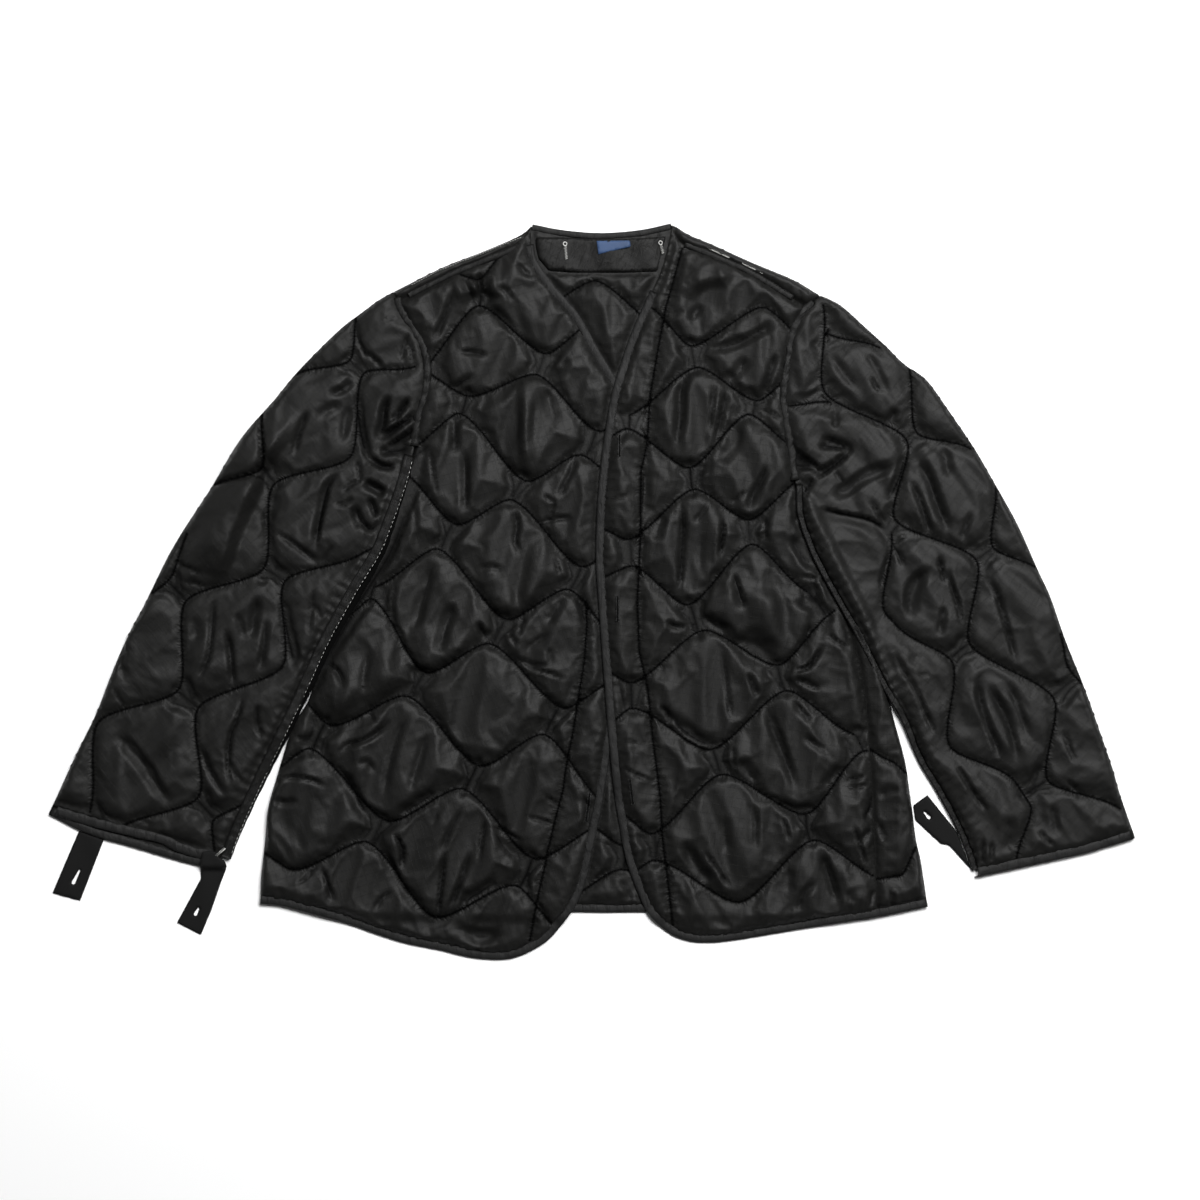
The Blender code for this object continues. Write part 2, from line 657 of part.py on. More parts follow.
def garment_lines():
    """Cut lines that several pieces share."""
    right, left = front_outlines()
    right_inner, left_inner = front_outlines(BINDING_FOLD + GAP)
    left_edge = smooth(LEFT_EDGE + (LEFT_HEM_END,))
    body_side = (smooth(RIGHT_SIDE), smooth(LEFT_SIDE))
    return {
        "back": back_outline(),
        "right": right,
        "left": left,
        "right_panel": grown(right_inner, -GAP / 2),
        "left_panel": grown(left_inner, -GAP / 2),
        "left_edge": left_edge,
        "right_sliver": outline(body_side[0], (body_side[0] + (80, 0))[::-1]),
        "left_sliver": outline(body_side[1], (body_side[1] - (80, 0))[::-1]),
    }


def sleeve_outline(side, with_seam=False):
    """One flattened sleeve, with or without its underarm seam allowance."""
    if side == "right":
        under = smooth(RIGHT_UNDERARM)
        if with_seam:
            under = beside(under, RIGHT_SEAM_WIDTH)
        armhole, fold, cuff = RIGHT_ARMHOLE, RIGHT_SLEEVE_FOLD, RIGHT_CUFF
    else:
        under = smooth(LEFT_UNDERARM)
        if not with_seam:
            under = np.vstack((LEFT_UNDERARM[0], beside(under, LEFT_SEAM_WIDTH)))
        armhole, fold, cuff = LEFT_ARMHOLE, LEFT_SLEEVE_FOLD, LEFT_CUFF
    return outline(smooth(fold), smooth(cuff), under[::-1], smooth(armhole)[::-1])


def lengthened(line, amount):
    """A line carried straight on at both ends."""
    first = line[0] - line[1]
    last = line[-1] - line[-2]
    return np.vstack((line[0] + first / np.linalg.norm(first) * amount, line,
                      line[-1] + last / np.linalg.norm(last) * amount))


def trimmed(line, start, end):
    """A line with a length taken off each end."""
    reach = np.concatenate(([0], np.cumsum(np.linalg.norm(np.diff(line, axis=0), axis=1))))
    marks = (start, reach[-1] - end)
    inner = line[(reach > marks[0] + 1) & (reach < marks[1] - 1)]
    ends = [[np.interp(mark, reach, line[:, axis]) for axis in (0, 1)] for mark in marks]
    return np.vstack((ends[0], inner, ends[1]))


def rows_of(table, heading):
    return [wave(turns, heading, ROW_STEP) for turns in table]


def build_back(cut):
    """Back panel: flat under the fronts, level with them where it turns over to the front."""
    panel = grown(back_outline(BINDING_FOLD + GAP, BINDING_FOLD + GAP), -GAP / 2)
    rows = rows_of(BACK_ROWS, (1.0, 0.0))
    right_shoulder, _, left_shoulder, _ = front_tops()
    side_seam = smooth(LEFT_SIDE_SEAM)
    hem_end = np.array((LEFT_HEM_END, LEFT_HEM_END))
    returns = (
        (right_shoulder, outline(right_shoulder, smooth(RIGHT_SHOULDER)[::-1])),
        (left_shoulder, outline(left_shoulder, smooth(LEFT_SHOULDER)[::-1])),
        (side_seam, outline(side_seam, hem_end, smooth(LEFT_SIDE)[::-1])),
    )
    bound = (smooth(BACK_NECK), smooth(BACK_HEM))
    lines = [ring_at(panel, -FLAT_EDGE)]
    room = grown(panel, 1.0)
    for line, region in returns:
        for distance in STEP_LINES:
            for side in (1, -1):
                step = beside(lengthened(line, 8.0), side * distance)
                lines += runs_inside(step, room, 0.0)
    for line in bound:
        for side in (1, -1):
            lines += runs_inside(beside(lengthened(line, 8.0), side * EDGE_BAND), room, 0.0)
    for distance in STEP_LINES:
        lines += runs_inside(beside(cut["left_edge"], BINDING_WIDTH + distance), room, 0.0)
    facing = outline(np.array(NECK_FACING + NECK_FACING[:1], float))
    covers = (cut["right"], cut["left"], facing)
    for row in rows:
        lines += runs_inside(row, panel, FLAT_EDGE)
    for cover in covers[:2]:
        lines += runs_inside(ring_at(cover, PRESSED), panel, 2.0)
    visible = crown_points(panel, lines)
    hidden = np.min([signed(visible, cover) for cover in covers], axis=0) < CLEAR_OF_ROW
    flat, faces = triangulated(panel, lines, visible[~hidden])
    rise = padding(flat, panel, rows, (), covers)
    top = np.full(len(flat), UNDER_CLOTH)
    banded = np.min([nearest(flat, line) for line in bound], axis=0) < EDGE_BAND + 0.3
    top[banded] = TOP_CLOTH
    clear_of_hem = nearest(flat, cut["left_edge"]) > BINDING_WIDTH + sum(STEP_LINES) / 2
    for line, region in returns:
        turned = (signed(flat, region) < 0.3) & (nearest(flat, line) > sum(STEP_LINES) / 2)
        turned &= clear_of_hem
        top[turned] = BODY_TOP
        rise[turned] = 0.0
    top += np.where(banded, 0, rise)
    levels = [np.zeros(len(flat)), top]
    stacked("back_panel", flat, faces, levels, [(True,)] * len(faces), "quilted_cloth")


def build_fronts(cut, sleeves):
    on_back = (cut["back"], UNDER_CLOTH + GAP, 0.0)
    front_top = UNDER_CLOTH + GAP + BINDING_RISE + GAP
    on_right_front = (cut["right"], front_top, UNDER_CLOTH + GAP)
    quilted("front_right", cut["right_panel"], rows_of(RIGHT_FRONT_ROWS, BODY_RIGHT_HEADING),
            RIGHT_FRONT_FOLDS, [on_back], pressed=(cut["left"], sleeves["right"]),
            holes=RIGHT_BUTTONHOLES)
    quilted("front_left", cut["left_panel"], rows_of(LEFT_FRONT_ROWS, BODY_LEFT_HEADING),
            LEFT_FRONT_FOLDS, [on_back, on_right_front], pressed=(sleeves["left"],),
            holes=LEFT_BUTTONHOLES)
    for name, line, side, supports in (
            ("front_binding_right", smooth(RIGHT_EDGE[1:]), -1, [on_back]),
            ("front_binding_left", cut["left_edge"][2:], 1, [on_back, on_right_front])):
        strip(name, line, binding_section(side, BINDING_WIDTH), supports, "binding_tape")
    strip("neck_binding", beside(smooth(BACK_NECK), 0)[1:-1],
          binding_section(-1, NECK_BINDING_WIDTH), [], "binding_tape")
    strip("hem_binding_back", trimmed(smooth(BACK_HEM), 48, 64),
          binding_section(1, BINDING_WIDTH), [], "binding_tape")


def binding_section(side, width):
    """A tape folded over the edge of a cloth: its fold, then its flap on top."""
    return ((0, 0), (side * BINDING_FOLD, 0), (side * BINDING_FOLD, TOP_CLOTH + GAP),
            (side * width, TOP_CLOTH + GAP), (side * width, BINDING_RISE),
            (side * 0.7, BINDING_RISE))


def build_sleeve(side, cut, rows, folds):
    """A flattened tube: two walls joined at the fold and the underarm, open at both ends."""
    polygon = grown(sleeve_outline(side), -GAP / 2)
    armpit = {"right": RIGHT_UNDERARM[0], "left": LEFT_UNDERARM[0]}
    if side == "right":
        fold = beside(smooth(RIGHT_SLEEVE_FOLD), SLIT_MARGIN)
        under = beside(smooth(RIGHT_UNDERARM), -SLIT_MARGIN)
        inward = (14, 8)
        lip_line = smooth(RIGHT_CUFF_LIP)
    else:
        fold = beside(smooth(LEFT_SLEEVE_FOLD), -SLIT_MARGIN)
        under = beside(smooth(LEFT_UNDERARM), LEFT_SEAM_WIDTH + SLIT_MARGIN)
        inward = (-14, 8)
        lip_line = None
    under = np.vstack((np.array(armpit[side]) + inward, lengthened(under, 12.0)[1:]))
    walls = (lengthened(fold, 12.0), under)
    slit = outline(walls[0], walls[1][::-1])
    supports = [(cut[side + "_sliver"], BODY_TOP + GAP, 0.0)]
    lines = pattern_lines(polygon, rows, folds, ()) + support_lines(supports, polygon)
    near = grown(polygon, 3.0)
    for wall in walls:
        lines += runs_inside(wall, near, 0.0)
    if lip_line is not None:
        lines += runs_inside(lip_line, near, 0.0)
    flat, faces = triangulated(polygon, lines, crown_points(polygon, lines))
    base = lifted(flat, supports)
    rise = padding(flat, polygon, rows, folds, ())
    centres = np.array([flat[list(face)].mean(axis=0) for face in faces])
    hollow = signed(centres, slit) < 0
    lipped = np.zeros(len(faces), bool)
    if lip_line is not None:
        lipped = signed(centres, outline(lip_line, (lip_line + (0, -60))[::-1])) < 0
    filled = [(True, not gap and not low, not low) for gap, low in zip(hollow, lipped)]
    levels = [base, base + SLEEVE_LOWER, base + SLEEVE_UPPER, base + BODY_TOP + rise]
    stacked("sleeve_" + side, flat, faces, levels, filled, "quilted_cloth")


def build_seams(cut):
    """Seam allowances that stand on the outside of the cloth."""
    slivers = {side: [(cut[side + "_sliver"], BODY_TOP + GAP, 0.0)] for side in ("right", "left")}
    low = BODY_TOP + GAP

    def raised(half):
        return ((-half, low), (half, low), (half, low + BAND_RISE * 0.6),
                (half * 0.5, low + BAND_RISE), (-half * 0.5, low + BAND_RISE),
                (-half, low + BAND_RISE * 0.6))

    strip("armhole_seam_right", trimmed(smooth(RIGHT_ARMHOLE), 7, 12), raised(ARMHOLE_BAND),
          slivers["right"], "quilted_cloth")
    strip("armhole_seam_left", trimmed(smooth(LEFT_ARMHOLE), 9, 14), raised(ARMHOLE_BAND),
          slivers["left"], "quilted_cloth")
    strip("shoulder_seam_right", smooth(RIGHT_SHOULDER_SEAM), raised(SHOULDER_BAND), [],
          "quilted_cloth")
    strip("shoulder_seam_left", smooth(LEFT_SHOULDER_SEAM), raised(SHOULDER_BAND), [],
          "quilted_cloth")
    for side, line, width in (("right", RIGHT_UNDERARM, RIGHT_SEAM_WIDTH),
                              ("left", LEFT_UNDERARM, LEFT_SEAM_WIDTH)):
        section = ((GAP, 0), (width - GAP, 0), (width - GAP, SEAM_RISE * 0.6),
                   (width * 0.7, SEAM_RISE), (GAP, SEAM_RISE))
        strip("underarm_seam_" + side, trimmed(smooth(line), 4, 7), section, slivers[side],
              "quilted_cloth")


def build_small_pieces():
    """Neck facing, label and cuff tabs."""
    facing = outline(np.array(NECK_FACING + NECK_FACING[:1], float))
    plate("neck_facing", facing, UNDER_CLOTH + GAP, FACING_THICK, "quilted_cloth")
    label = outline(np.array(LABEL + LABEL[:1], float))
    plate("neck_label", label, UNDER_CLOTH + FACING_THICK + 2 * GAP, LABEL_THICK, "label")
    for name, (shape, top, foot) in (("cuff_tab_right_front", TAB_FRONT),
                                     ("cuff_tab_right_back", TAB_BACK),
                                     ("cuff_tab_left", TAB_LEFT)):
        polygon = outline(np.array(shape + shape[:1], float))
        plate(name, polygon, 0.0, TAB_THICK, "tab_tape", slot(*top, *foot, SLIT_HALF))


def build():
    clear_scene()
    cut = garment_lines()
    sleeves = {side: sleeve_outline(side, with_seam=True) for side in ("right", "left")}
    build_back(cut)
    build_fronts(cut, sleeves)
    build_sleeve("right", cut, rows_of(RIGHT_SLEEVE_ROWS, SLEEVE_RIGHT_HEADING),
                 RIGHT_SLEEVE_FOLDS)
    build_sleeve("left", cut, rows_of(LEFT_SLEEVE_ROWS, SLEEVE_LEFT_HEADING), LEFT_SLEEVE_FOLDS)
    build_seams(cut)
    build_small_pieces()


build()
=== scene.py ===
"""Looks of the quilted button-in liner of a field jacket, laid flat with its front up.

Same frame as the solids: +X to the wearer's left, +Y to the neck, +Z up.  The tables are
in millimetres; meshes are made in metres.
"""

import math

import bpy
import numpy as np
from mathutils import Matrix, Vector
from mathutils.geometry import delaunay_2d_cdt
from mathutils.kdtree import KDTree


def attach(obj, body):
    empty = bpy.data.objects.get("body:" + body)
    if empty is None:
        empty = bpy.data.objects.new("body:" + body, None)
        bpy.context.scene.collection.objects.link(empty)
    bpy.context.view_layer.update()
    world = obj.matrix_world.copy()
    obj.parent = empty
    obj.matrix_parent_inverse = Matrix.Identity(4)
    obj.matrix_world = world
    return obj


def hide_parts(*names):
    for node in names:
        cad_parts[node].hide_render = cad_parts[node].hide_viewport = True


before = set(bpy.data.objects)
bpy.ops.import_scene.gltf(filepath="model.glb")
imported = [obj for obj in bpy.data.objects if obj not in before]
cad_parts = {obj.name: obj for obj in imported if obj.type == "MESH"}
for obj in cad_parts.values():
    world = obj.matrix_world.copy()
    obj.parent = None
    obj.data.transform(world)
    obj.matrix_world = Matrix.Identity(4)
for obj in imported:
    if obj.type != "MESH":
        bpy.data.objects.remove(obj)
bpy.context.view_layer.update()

MM = 0.001

# ---------------------------------------------------------------- sizes
GAP = 0.3                  # clearance between layers
UNDER_CLOTH = 3.0          # thickness of the back
TOP_CLOTH = 1.7            # and of a front
EDGE_CLOTH = 0.5           # thickness of a front where its side turns under
BACK_EDGE = 1.2            # the same for the back
SLEEVE_EDGE = 2.6          # the same for a sleeve's two walls
SLEEVE_TURN = 2.3          # how far a sleeve's underside comes up at its fold
SLEEVE_LOWER = 2.7         # top of a sleeve's lower wall
SLEEVE_UPPER = 3.3         # foot of its upper wall
BODY_TOP = UNDER_CLOTH + GAP + TOP_CLOTH
PUFF = 8.5                 # how far a quilted cell stands up
PUFF_REACH = 32.0          # distance from a row at which a cell is full
EDGE_PUFF_REACH = 16.0     # the same from a seam or binding
SEAM_MARGIN = 2.0          # cloth stays flat this close to a seam
START_FULL = 0.85          # share of the puff, and its waves, before the simulation
START_WAVE = 0.3
FREE_REACH = 9.0           # distance from a row at which waves are full
LONG_WAVE = 60.0
LONG_WAVE_RISE = 0.2
LOWEST_DENT = -0.6
BESIDE = 1.0               # cloth keeps its height this far outside what it lies on
RAMP = 12.0                # and comes down over this width
BINDING_WIDTH = 8.5
NECK_BINDING_WIDTH = 6.2
BINDING_FOLD = 2.0
BINDING_RISE = 2.9
SLIT_MARGIN = 4.0
RIGHT_SEAM_WIDTH = 11.0
RIGHT_SEAM_FOOT = 2.4      # how far the right underarm seam lies above the body
RIGHT_SEAM_SHIFT = (-9.0, 0.0)   # how far it lies over the sleeve, at its top and foot
SIDE_GAP_SHIFT = (-8.0, 21.0)    # the painted shadow strip's way out from under it, top to foot
SIDE_GAP_OUT = 1.0         # the farthest that the painted shadow strip goes out
SIDE_GAP_TOP = 0.8
LEFT_SEAM_WIDTH = 7.0
GRID = 2.6                 # spacing of the cloth's points
BAND_STEP = 2.5            # and of a band's rings
ROLL = 7.0                 # radius at which cloth turns under at a folded edge
ROUND_ROWS = 0.45          # 1 for round waves, 0 for zigzags

# Folds and gathers
FOLD_REACH = 1.2           # widens every fold
FOLD_DEPTH = 1.9           # deepens every fold
FOLD_ROOM = 3.5            # folds fade over this distance from a row
ROW_GIVE = 0.45            # to this share of their height
VALLEY_WIDTH = 2.2         # half width of the painted shade in a sharp trough
CRISP_FOLD = 12.0          # folds with a shorter reach keep a sharp edge
SHORT_FOLD = 42.0          # folds shorter than this are shallower
FOLD_UNEVEN = (0.8, 1.15)  # changes of a fold's depth along it
FOLD_ENDS = 0.3            # share of a fold over which each of its ends fades
LINE_OFFSET = 37.0         # sets the gathers of one stitched line off against the next
PUCKER = 5.5               # pitch of the small gathers at a stitched line
# Larger gathers: reach from their line, pitch, rise
STITCHED_PUCKERS = (7.0, 8.0, 0.9)
EDGE_PUCKERS = (14.0, 9.0, 0.8)
UNDERARM_PUCKERS = (12.0, 11.0, 0.8)
PINCH_NEAR = 10.0          # two rows this close flatten the cloth between them
PINCH_FAR = 44.0           # and this far apart leave it full
PINCH_MOST = 38.0          # rows farther apart get no creases between them
PINCH_APART = 14.0         # least distance between two pinches
PINCH_LOW = 0.25           # fullness left in a pinch
PINCH_CREASE = 1.6         # height of the small waves in it
PINCH_WAVE = 12.0
# Creases across a pinch: how far beside its middle, rise, how far past the rows
PINCH_CREASES = ((0.0, -5.0, 10.0), (-9.0, -3.4, 4.0), (8.0, -3.4, 5.0))

# Cloth simulation
FRAMES = 22
DRAWN_BY = 10              # frame at which the rows have drawn the cloth together
CLOTH_BEND = 0.12
CLOTH_WAVE = 38.0          # usual distance from wrinkle to wrinkle
BODY_GATHER = (1.035, 1.02)  # cloth to spare along the rows and across them
SLEEVE_GATHER = (1.01, 1.02)
SLEEVE_PRESSURE = 0.9
SLEEVE_PUFF = 0.8
MOST_DRIFT = 4.5
MOST_RISE = 12.5

# Looks: base colours are linear
CLOTH_LOW = (0.0054, 0.0054, 0.0051)
CLOTH_HIGH = (0.0081, 0.008, 0.0075)
CLOTH_ROUGH = 0.54
CLOTH_SPECULAR = 0.17
# painted shade: the colour that the rows and sharp troughs are darkened towards
PAINTED_SHADE = (0.0012, 0.0012, 0.0012)
PATCH_SCALE = 26.0         # slight changes of shade, per metre
PATCH_RANGE = (0.3, 0.7)
WEAVE_DEPTH = 0.16         # of the threads, as a share of their pitch
CRINKLE_SCALE = 170.0
CRINKLE_SHAPE = (1.0, 0.35, 1.0)
RIB_WIDTH = 0.07           # of the ripstop threads, as a share of their pitch
RIB_RISE = 0.00005
RIB_SHADE = -0.35
PAINTED_SHADE_REACH = (0.5, 2.6)  # distance from a row at which its painted shade is darkest and at which it ends
GATHER_REACH = (0.5, 7.0)  # the same for the gathers beside it
GATHER_DEPTH = 0.00014
GATHER_SCALE = 90.0
GATHER_WANDER = 22.0
FLOOR_GREY = 0.93
FLOOR_SIZE = 6.0
FLOOR_LEVEL = -0.0005
WORLD_LIGHT = 0.02
# Soft lights: place, size, power
LIGHTS = (((0.9, 1.6, 3.0), (2.2, 1.6), 215.0), ((-2.6, 0.6, 1.7), (1.6, 1.6), 9.0),
          ((2.6, 0.3, 1.7), (1.6, 1.6), 6.0))
LENS = 85.0
SENSOR = 36.0
VIEW_WIDTH = 1.26          # what the camera sees across
CAMERA_OVER = (0.0087, -0.0089)
CAMERA_RISE = 0.005        # the cloth's middle height, which the view width is taken at

# Outlines: x, y
RIGHT_SHOULDER = ((-62, 386), (-74, 375), (-110, 359), (-158, 340), (-208, 315))
LEFT_SHOULDER = ((83, 387), (102, 375), (126, 365), (168, 346), (211, 328), (240, 311))
BACK_NECK = ((-62, 386), (-30, 380), (9, 377), (50, 380), (83, 387))
BACK_HEM = ((-348, -328), (-200, -334), (-20, -337), (50, -337), (200, -335), (270, -337), (302, -340),
            (353, -331))
RIGHT_ARMHOLE = ((-208, 315), (-198, 291), (-186, 274), (-176, 253), (-173, 230), (-176, 205),
                 (-183, 180), (-187, 146))
LEFT_ARMHOLE = ((240, 311), (221, 292), (211, 269), (205, 240), (201, 205), (203, 187),
                (208, 155), (214, 112))
RIGHT_SIDE = ((-187, 146), (-211, 100), (-233, 50), (-256, 0), (-275, -45), (-288, -85),
              (-298, -115), (-311, -136), (-319, -156), (-331, -196), (-340, -228),
              (-343, -262), (-347, -299), (-348, -328))
LEFT_SIDE = ((214, 112), (240, 60), (262, 15), (284, -30), (300, -75), (311, -110), (318, -136),
             (329, -177), (334, -209), (338, -238), (341, -262), (346, -284), (353, -331))
LEFT_SIDE_SEAM = ((214, 112), (232, 60), (252, 10), (270, -40), (282, -80), (289, -130),
                  (294, -200), (297, -270), (300, -342))
RIGHT_FRONT_SHOULDER = ((-62, 386), (-73, 371), (-106, 350), (-145, 334))
RIGHT_SHOULDER_END = 304   # height at which it meets the armhole
LEFT_FRONT_SHOULDER = ((83, 387), (94, 366), (126, 353), (168, 334))
LEFT_SHOULDER_END = 298
RIGHT_EDGE = ((-62, 386), (-61, 365), (-57, 347), (-39, 321), (-14, 292), (8, 253), (24, 227),
              (38, 201), (46, 159), (49, 96), (44, 12), (36, -72), (23, -145), (14, -206),
              (9, -235), (3, -261), (-4, -296), (-12, -320), (-22, -338), (-44, -365),
              (-62, -377), (-78, -384), (-96, -387), (-126, -385), (-160, -377), (-195, -370),
              (-230, -359), (-264, -347), (-300, -337), (-327, -330), (-348, -328))
LEFT_EDGE = ((83, 387), (73, 344), (59, 311), (43, 275), (31, 241), (21, 207), (13, 161),
             (9, 128), (6, 93), (4.5, 58), (4.5, 24), (7, -11), (12, -81), (17, -145),
             (23, -208), (29, -246), (36, -282), (49, -318), (59, -338), (73, -353), (88, -363),
             (105, -368), (121, -369), (147, -367), (214, -356), (267, -347), (300, -342))
LEFT_HEM_END = (353, -331)
RIGHT_SHOULDER_SEAM = ((-75, 362), (-106, 350), (-145, 334), (-192, 311))
LEFT_SHOULDER_SEAM = ((98, 365), (126, 353), (168, 334), (211, 308))
RIGHT_SLEEVE_FOLD = ((-208, 315), (-224, 306), (-243, 292), (-266, 274), (-308, 232),
                     (-332, 203), (-368, 160), (-400, 108), (-428, 66), (-447, 33), (-470, -14),
                     (-486, -44), (-501, -78), (-521, -129), (-542, -172), (-565, -222),
                     (-571, -234))
RIGHT_CUFF = ((-571, -234), (-540, -250), (-513, -260), (-487, -267), (-440, -281),
              (-411, -288), (-392, -284))
RIGHT_CUFF_LIP = ((-580, -220), (-565, -225), (-527, -237), (-480, -253), (-433, -268),
                  (-400, -278), (-380, -282))
RIGHT_UNDERARM = ((-187, 146), (-194, 120), (-202, 97), (-221, 49), (-235, 25), (-250, 2),
                  (-280, -50), (-308, -108), (-327, -146), (-355, -200), (-378, -249),
                  (-392, -284))
LEFT_SLEEVE_FOLD = ((240, 311), (252, 306), (265, 298), (287, 278), (309, 258), (328, 239),
                    (351, 223), (373, 193), (401, 152), (422, 116), (447, 71), (469, 22),
                    (482, -6), (498, -52), (518, -102), (545, -179), (555, -213), (571, -259))
LEFT_CUFF = ((571, -259), (541, -268), (517, -275), (485, -282), (449, -290), (402, -300))
LEFT_UNDERARM = ((214, 112), (216, 78), (230, 39), (247, 6), (278, -49), (308, -107),
                 (324, -134), (342, -177), (361, -209), (385, -254), (402, -300))
NECK_FACING = ((-59, 372), (-59, 364), (-56, 350), (-45, 337), (-20, 335.5), (20, 335),
               (69, 336.5), (71, 347), (78, 373), (50, 371), (9, 370), (-30, 372))

# Quilting rows: the turning points of each wave, x, y.  A row runs along its own heading.
BACK_HEADING = (1.0, 0.0)
BODY_RIGHT_HEADING = (1.0, -0.28)
BODY_LEFT_HEADING = (1.0, 0.16)
SLEEVE_RIGHT_HEADING = (-0.61, -0.79)
SLEEVE_LEFT_HEADING = (0.58, -0.81)
RIGHT_FRONT_ROWS = (
    ((-88, 362), (-119, 326), (-170, 345)),
    ((-185, 225), (-119, 303), (-49, 248), (10, 290)),
    ((-190, 240), (-130, 204), (-57, 229), (6, 167), (60, 190)),
    ((-190, 150), (-138, 189), (-69, 114), (-11, 145), (50, 95)),
    ((-200, 128), (-142, 69), (-83, 98), (-11, 24), (45, 60)),
    ((-227, 5), (-161, 47), (-90, -31), (-24, 4), (35, -60)),
    ((-262, -30), (-230, -6), (-175, -87), (-106, -53), (-30, -124), (30, -90)),
    ((-320, -95), (-274, -142), (-193, -108), (-118, -185), (-49, -148), (15, -225)),
    ((-345, -195), (-295, -163), (-214, -243), (-135, -205), (-60, -283), (20, -240)),
    ((-360, -265), (-313, -293), (-235, -261), (-165, -344), (-80, -307), (-30, -360)),
)
LEFT_FRONT_ROWS = (
    ((60, 300), (105, 256), (179, 300), (230, 260)),
    ((40, 185), (110, 237), (174, 199), (215, 230)),
    ((0, 150), (37, 172), (103, 128), (164, 188), (215, 150)),
    ((0, 70), (40, 54), (107, 109), (166, 74), (222, 120)),
    ((0, 10), (43, 28), (101, -16), (168, 52), (226, 0)),
    ((0, -75), (43, -97), (117, -39), (196, -79), (255, -20)),
    ((5, -150), (43, -121), (125, -168), (204, -102), (275, -150)),
    ((20, -225), (64, -256), (136, -190), (225, -236), (286, -165), (345, -200)),
    ((35, -300), (66, -281), (156, -328), (232, -259), (308, -304), (360, -265)),
)
BACK_ROWS = (
    ((-50, 300), (4, 328), (75, 275)),
    ((-10, -240), (34, -268), (70, -250)),
    ((-30, -325), (30, -291), (90, -310)),
    ((290, -165), (310, -176), (345, -200)),
    ((298, -302), (325, -298), (345, -262)),
)
RIGHT_SLEEVE_ROWS = (
    ((-245, 300), (-253, 242), (-312, 228), (-345, 190), (-345, 128), (-405, 108)),
    ((-425, 60), (-442, 14), (-480, -16)),
    ((-186, 236), (-241, 230), (-252, 140), (-336, 113), (-343, 23), (-428, -9), (-432, -104),
     (-520, -136), (-527, -232)),
    ((-190, 60), (-240, 40), (-324, 12), (-323, -80), (-415, -121), (-411, -217), (-500, -250)),
    ((-330, -190), (-365, -222), (-398, -240), (-396, -290)),
)
LEFT_SLEEVE_ROWS = (
    ((243, 300), (243, 208), (333, 160), (316, 75), (406, 34), (395, -56), (487, -111),
     (477, -199), (555, -228)),
    ((332, 240), (340, 166), (398, 150)),
    ((424, 116), (420, 46), (472, 22)),
    ((492, -45), (500, -80), (528, -112)),
    ((247, 271), (302, 256)),
    ((200, 195), (248, 199)),
    ((315, 60), (306, -20), (324, -40), (380, -73), (374, -163), (442, -196), (462, -226),
     (446, -282)),
)

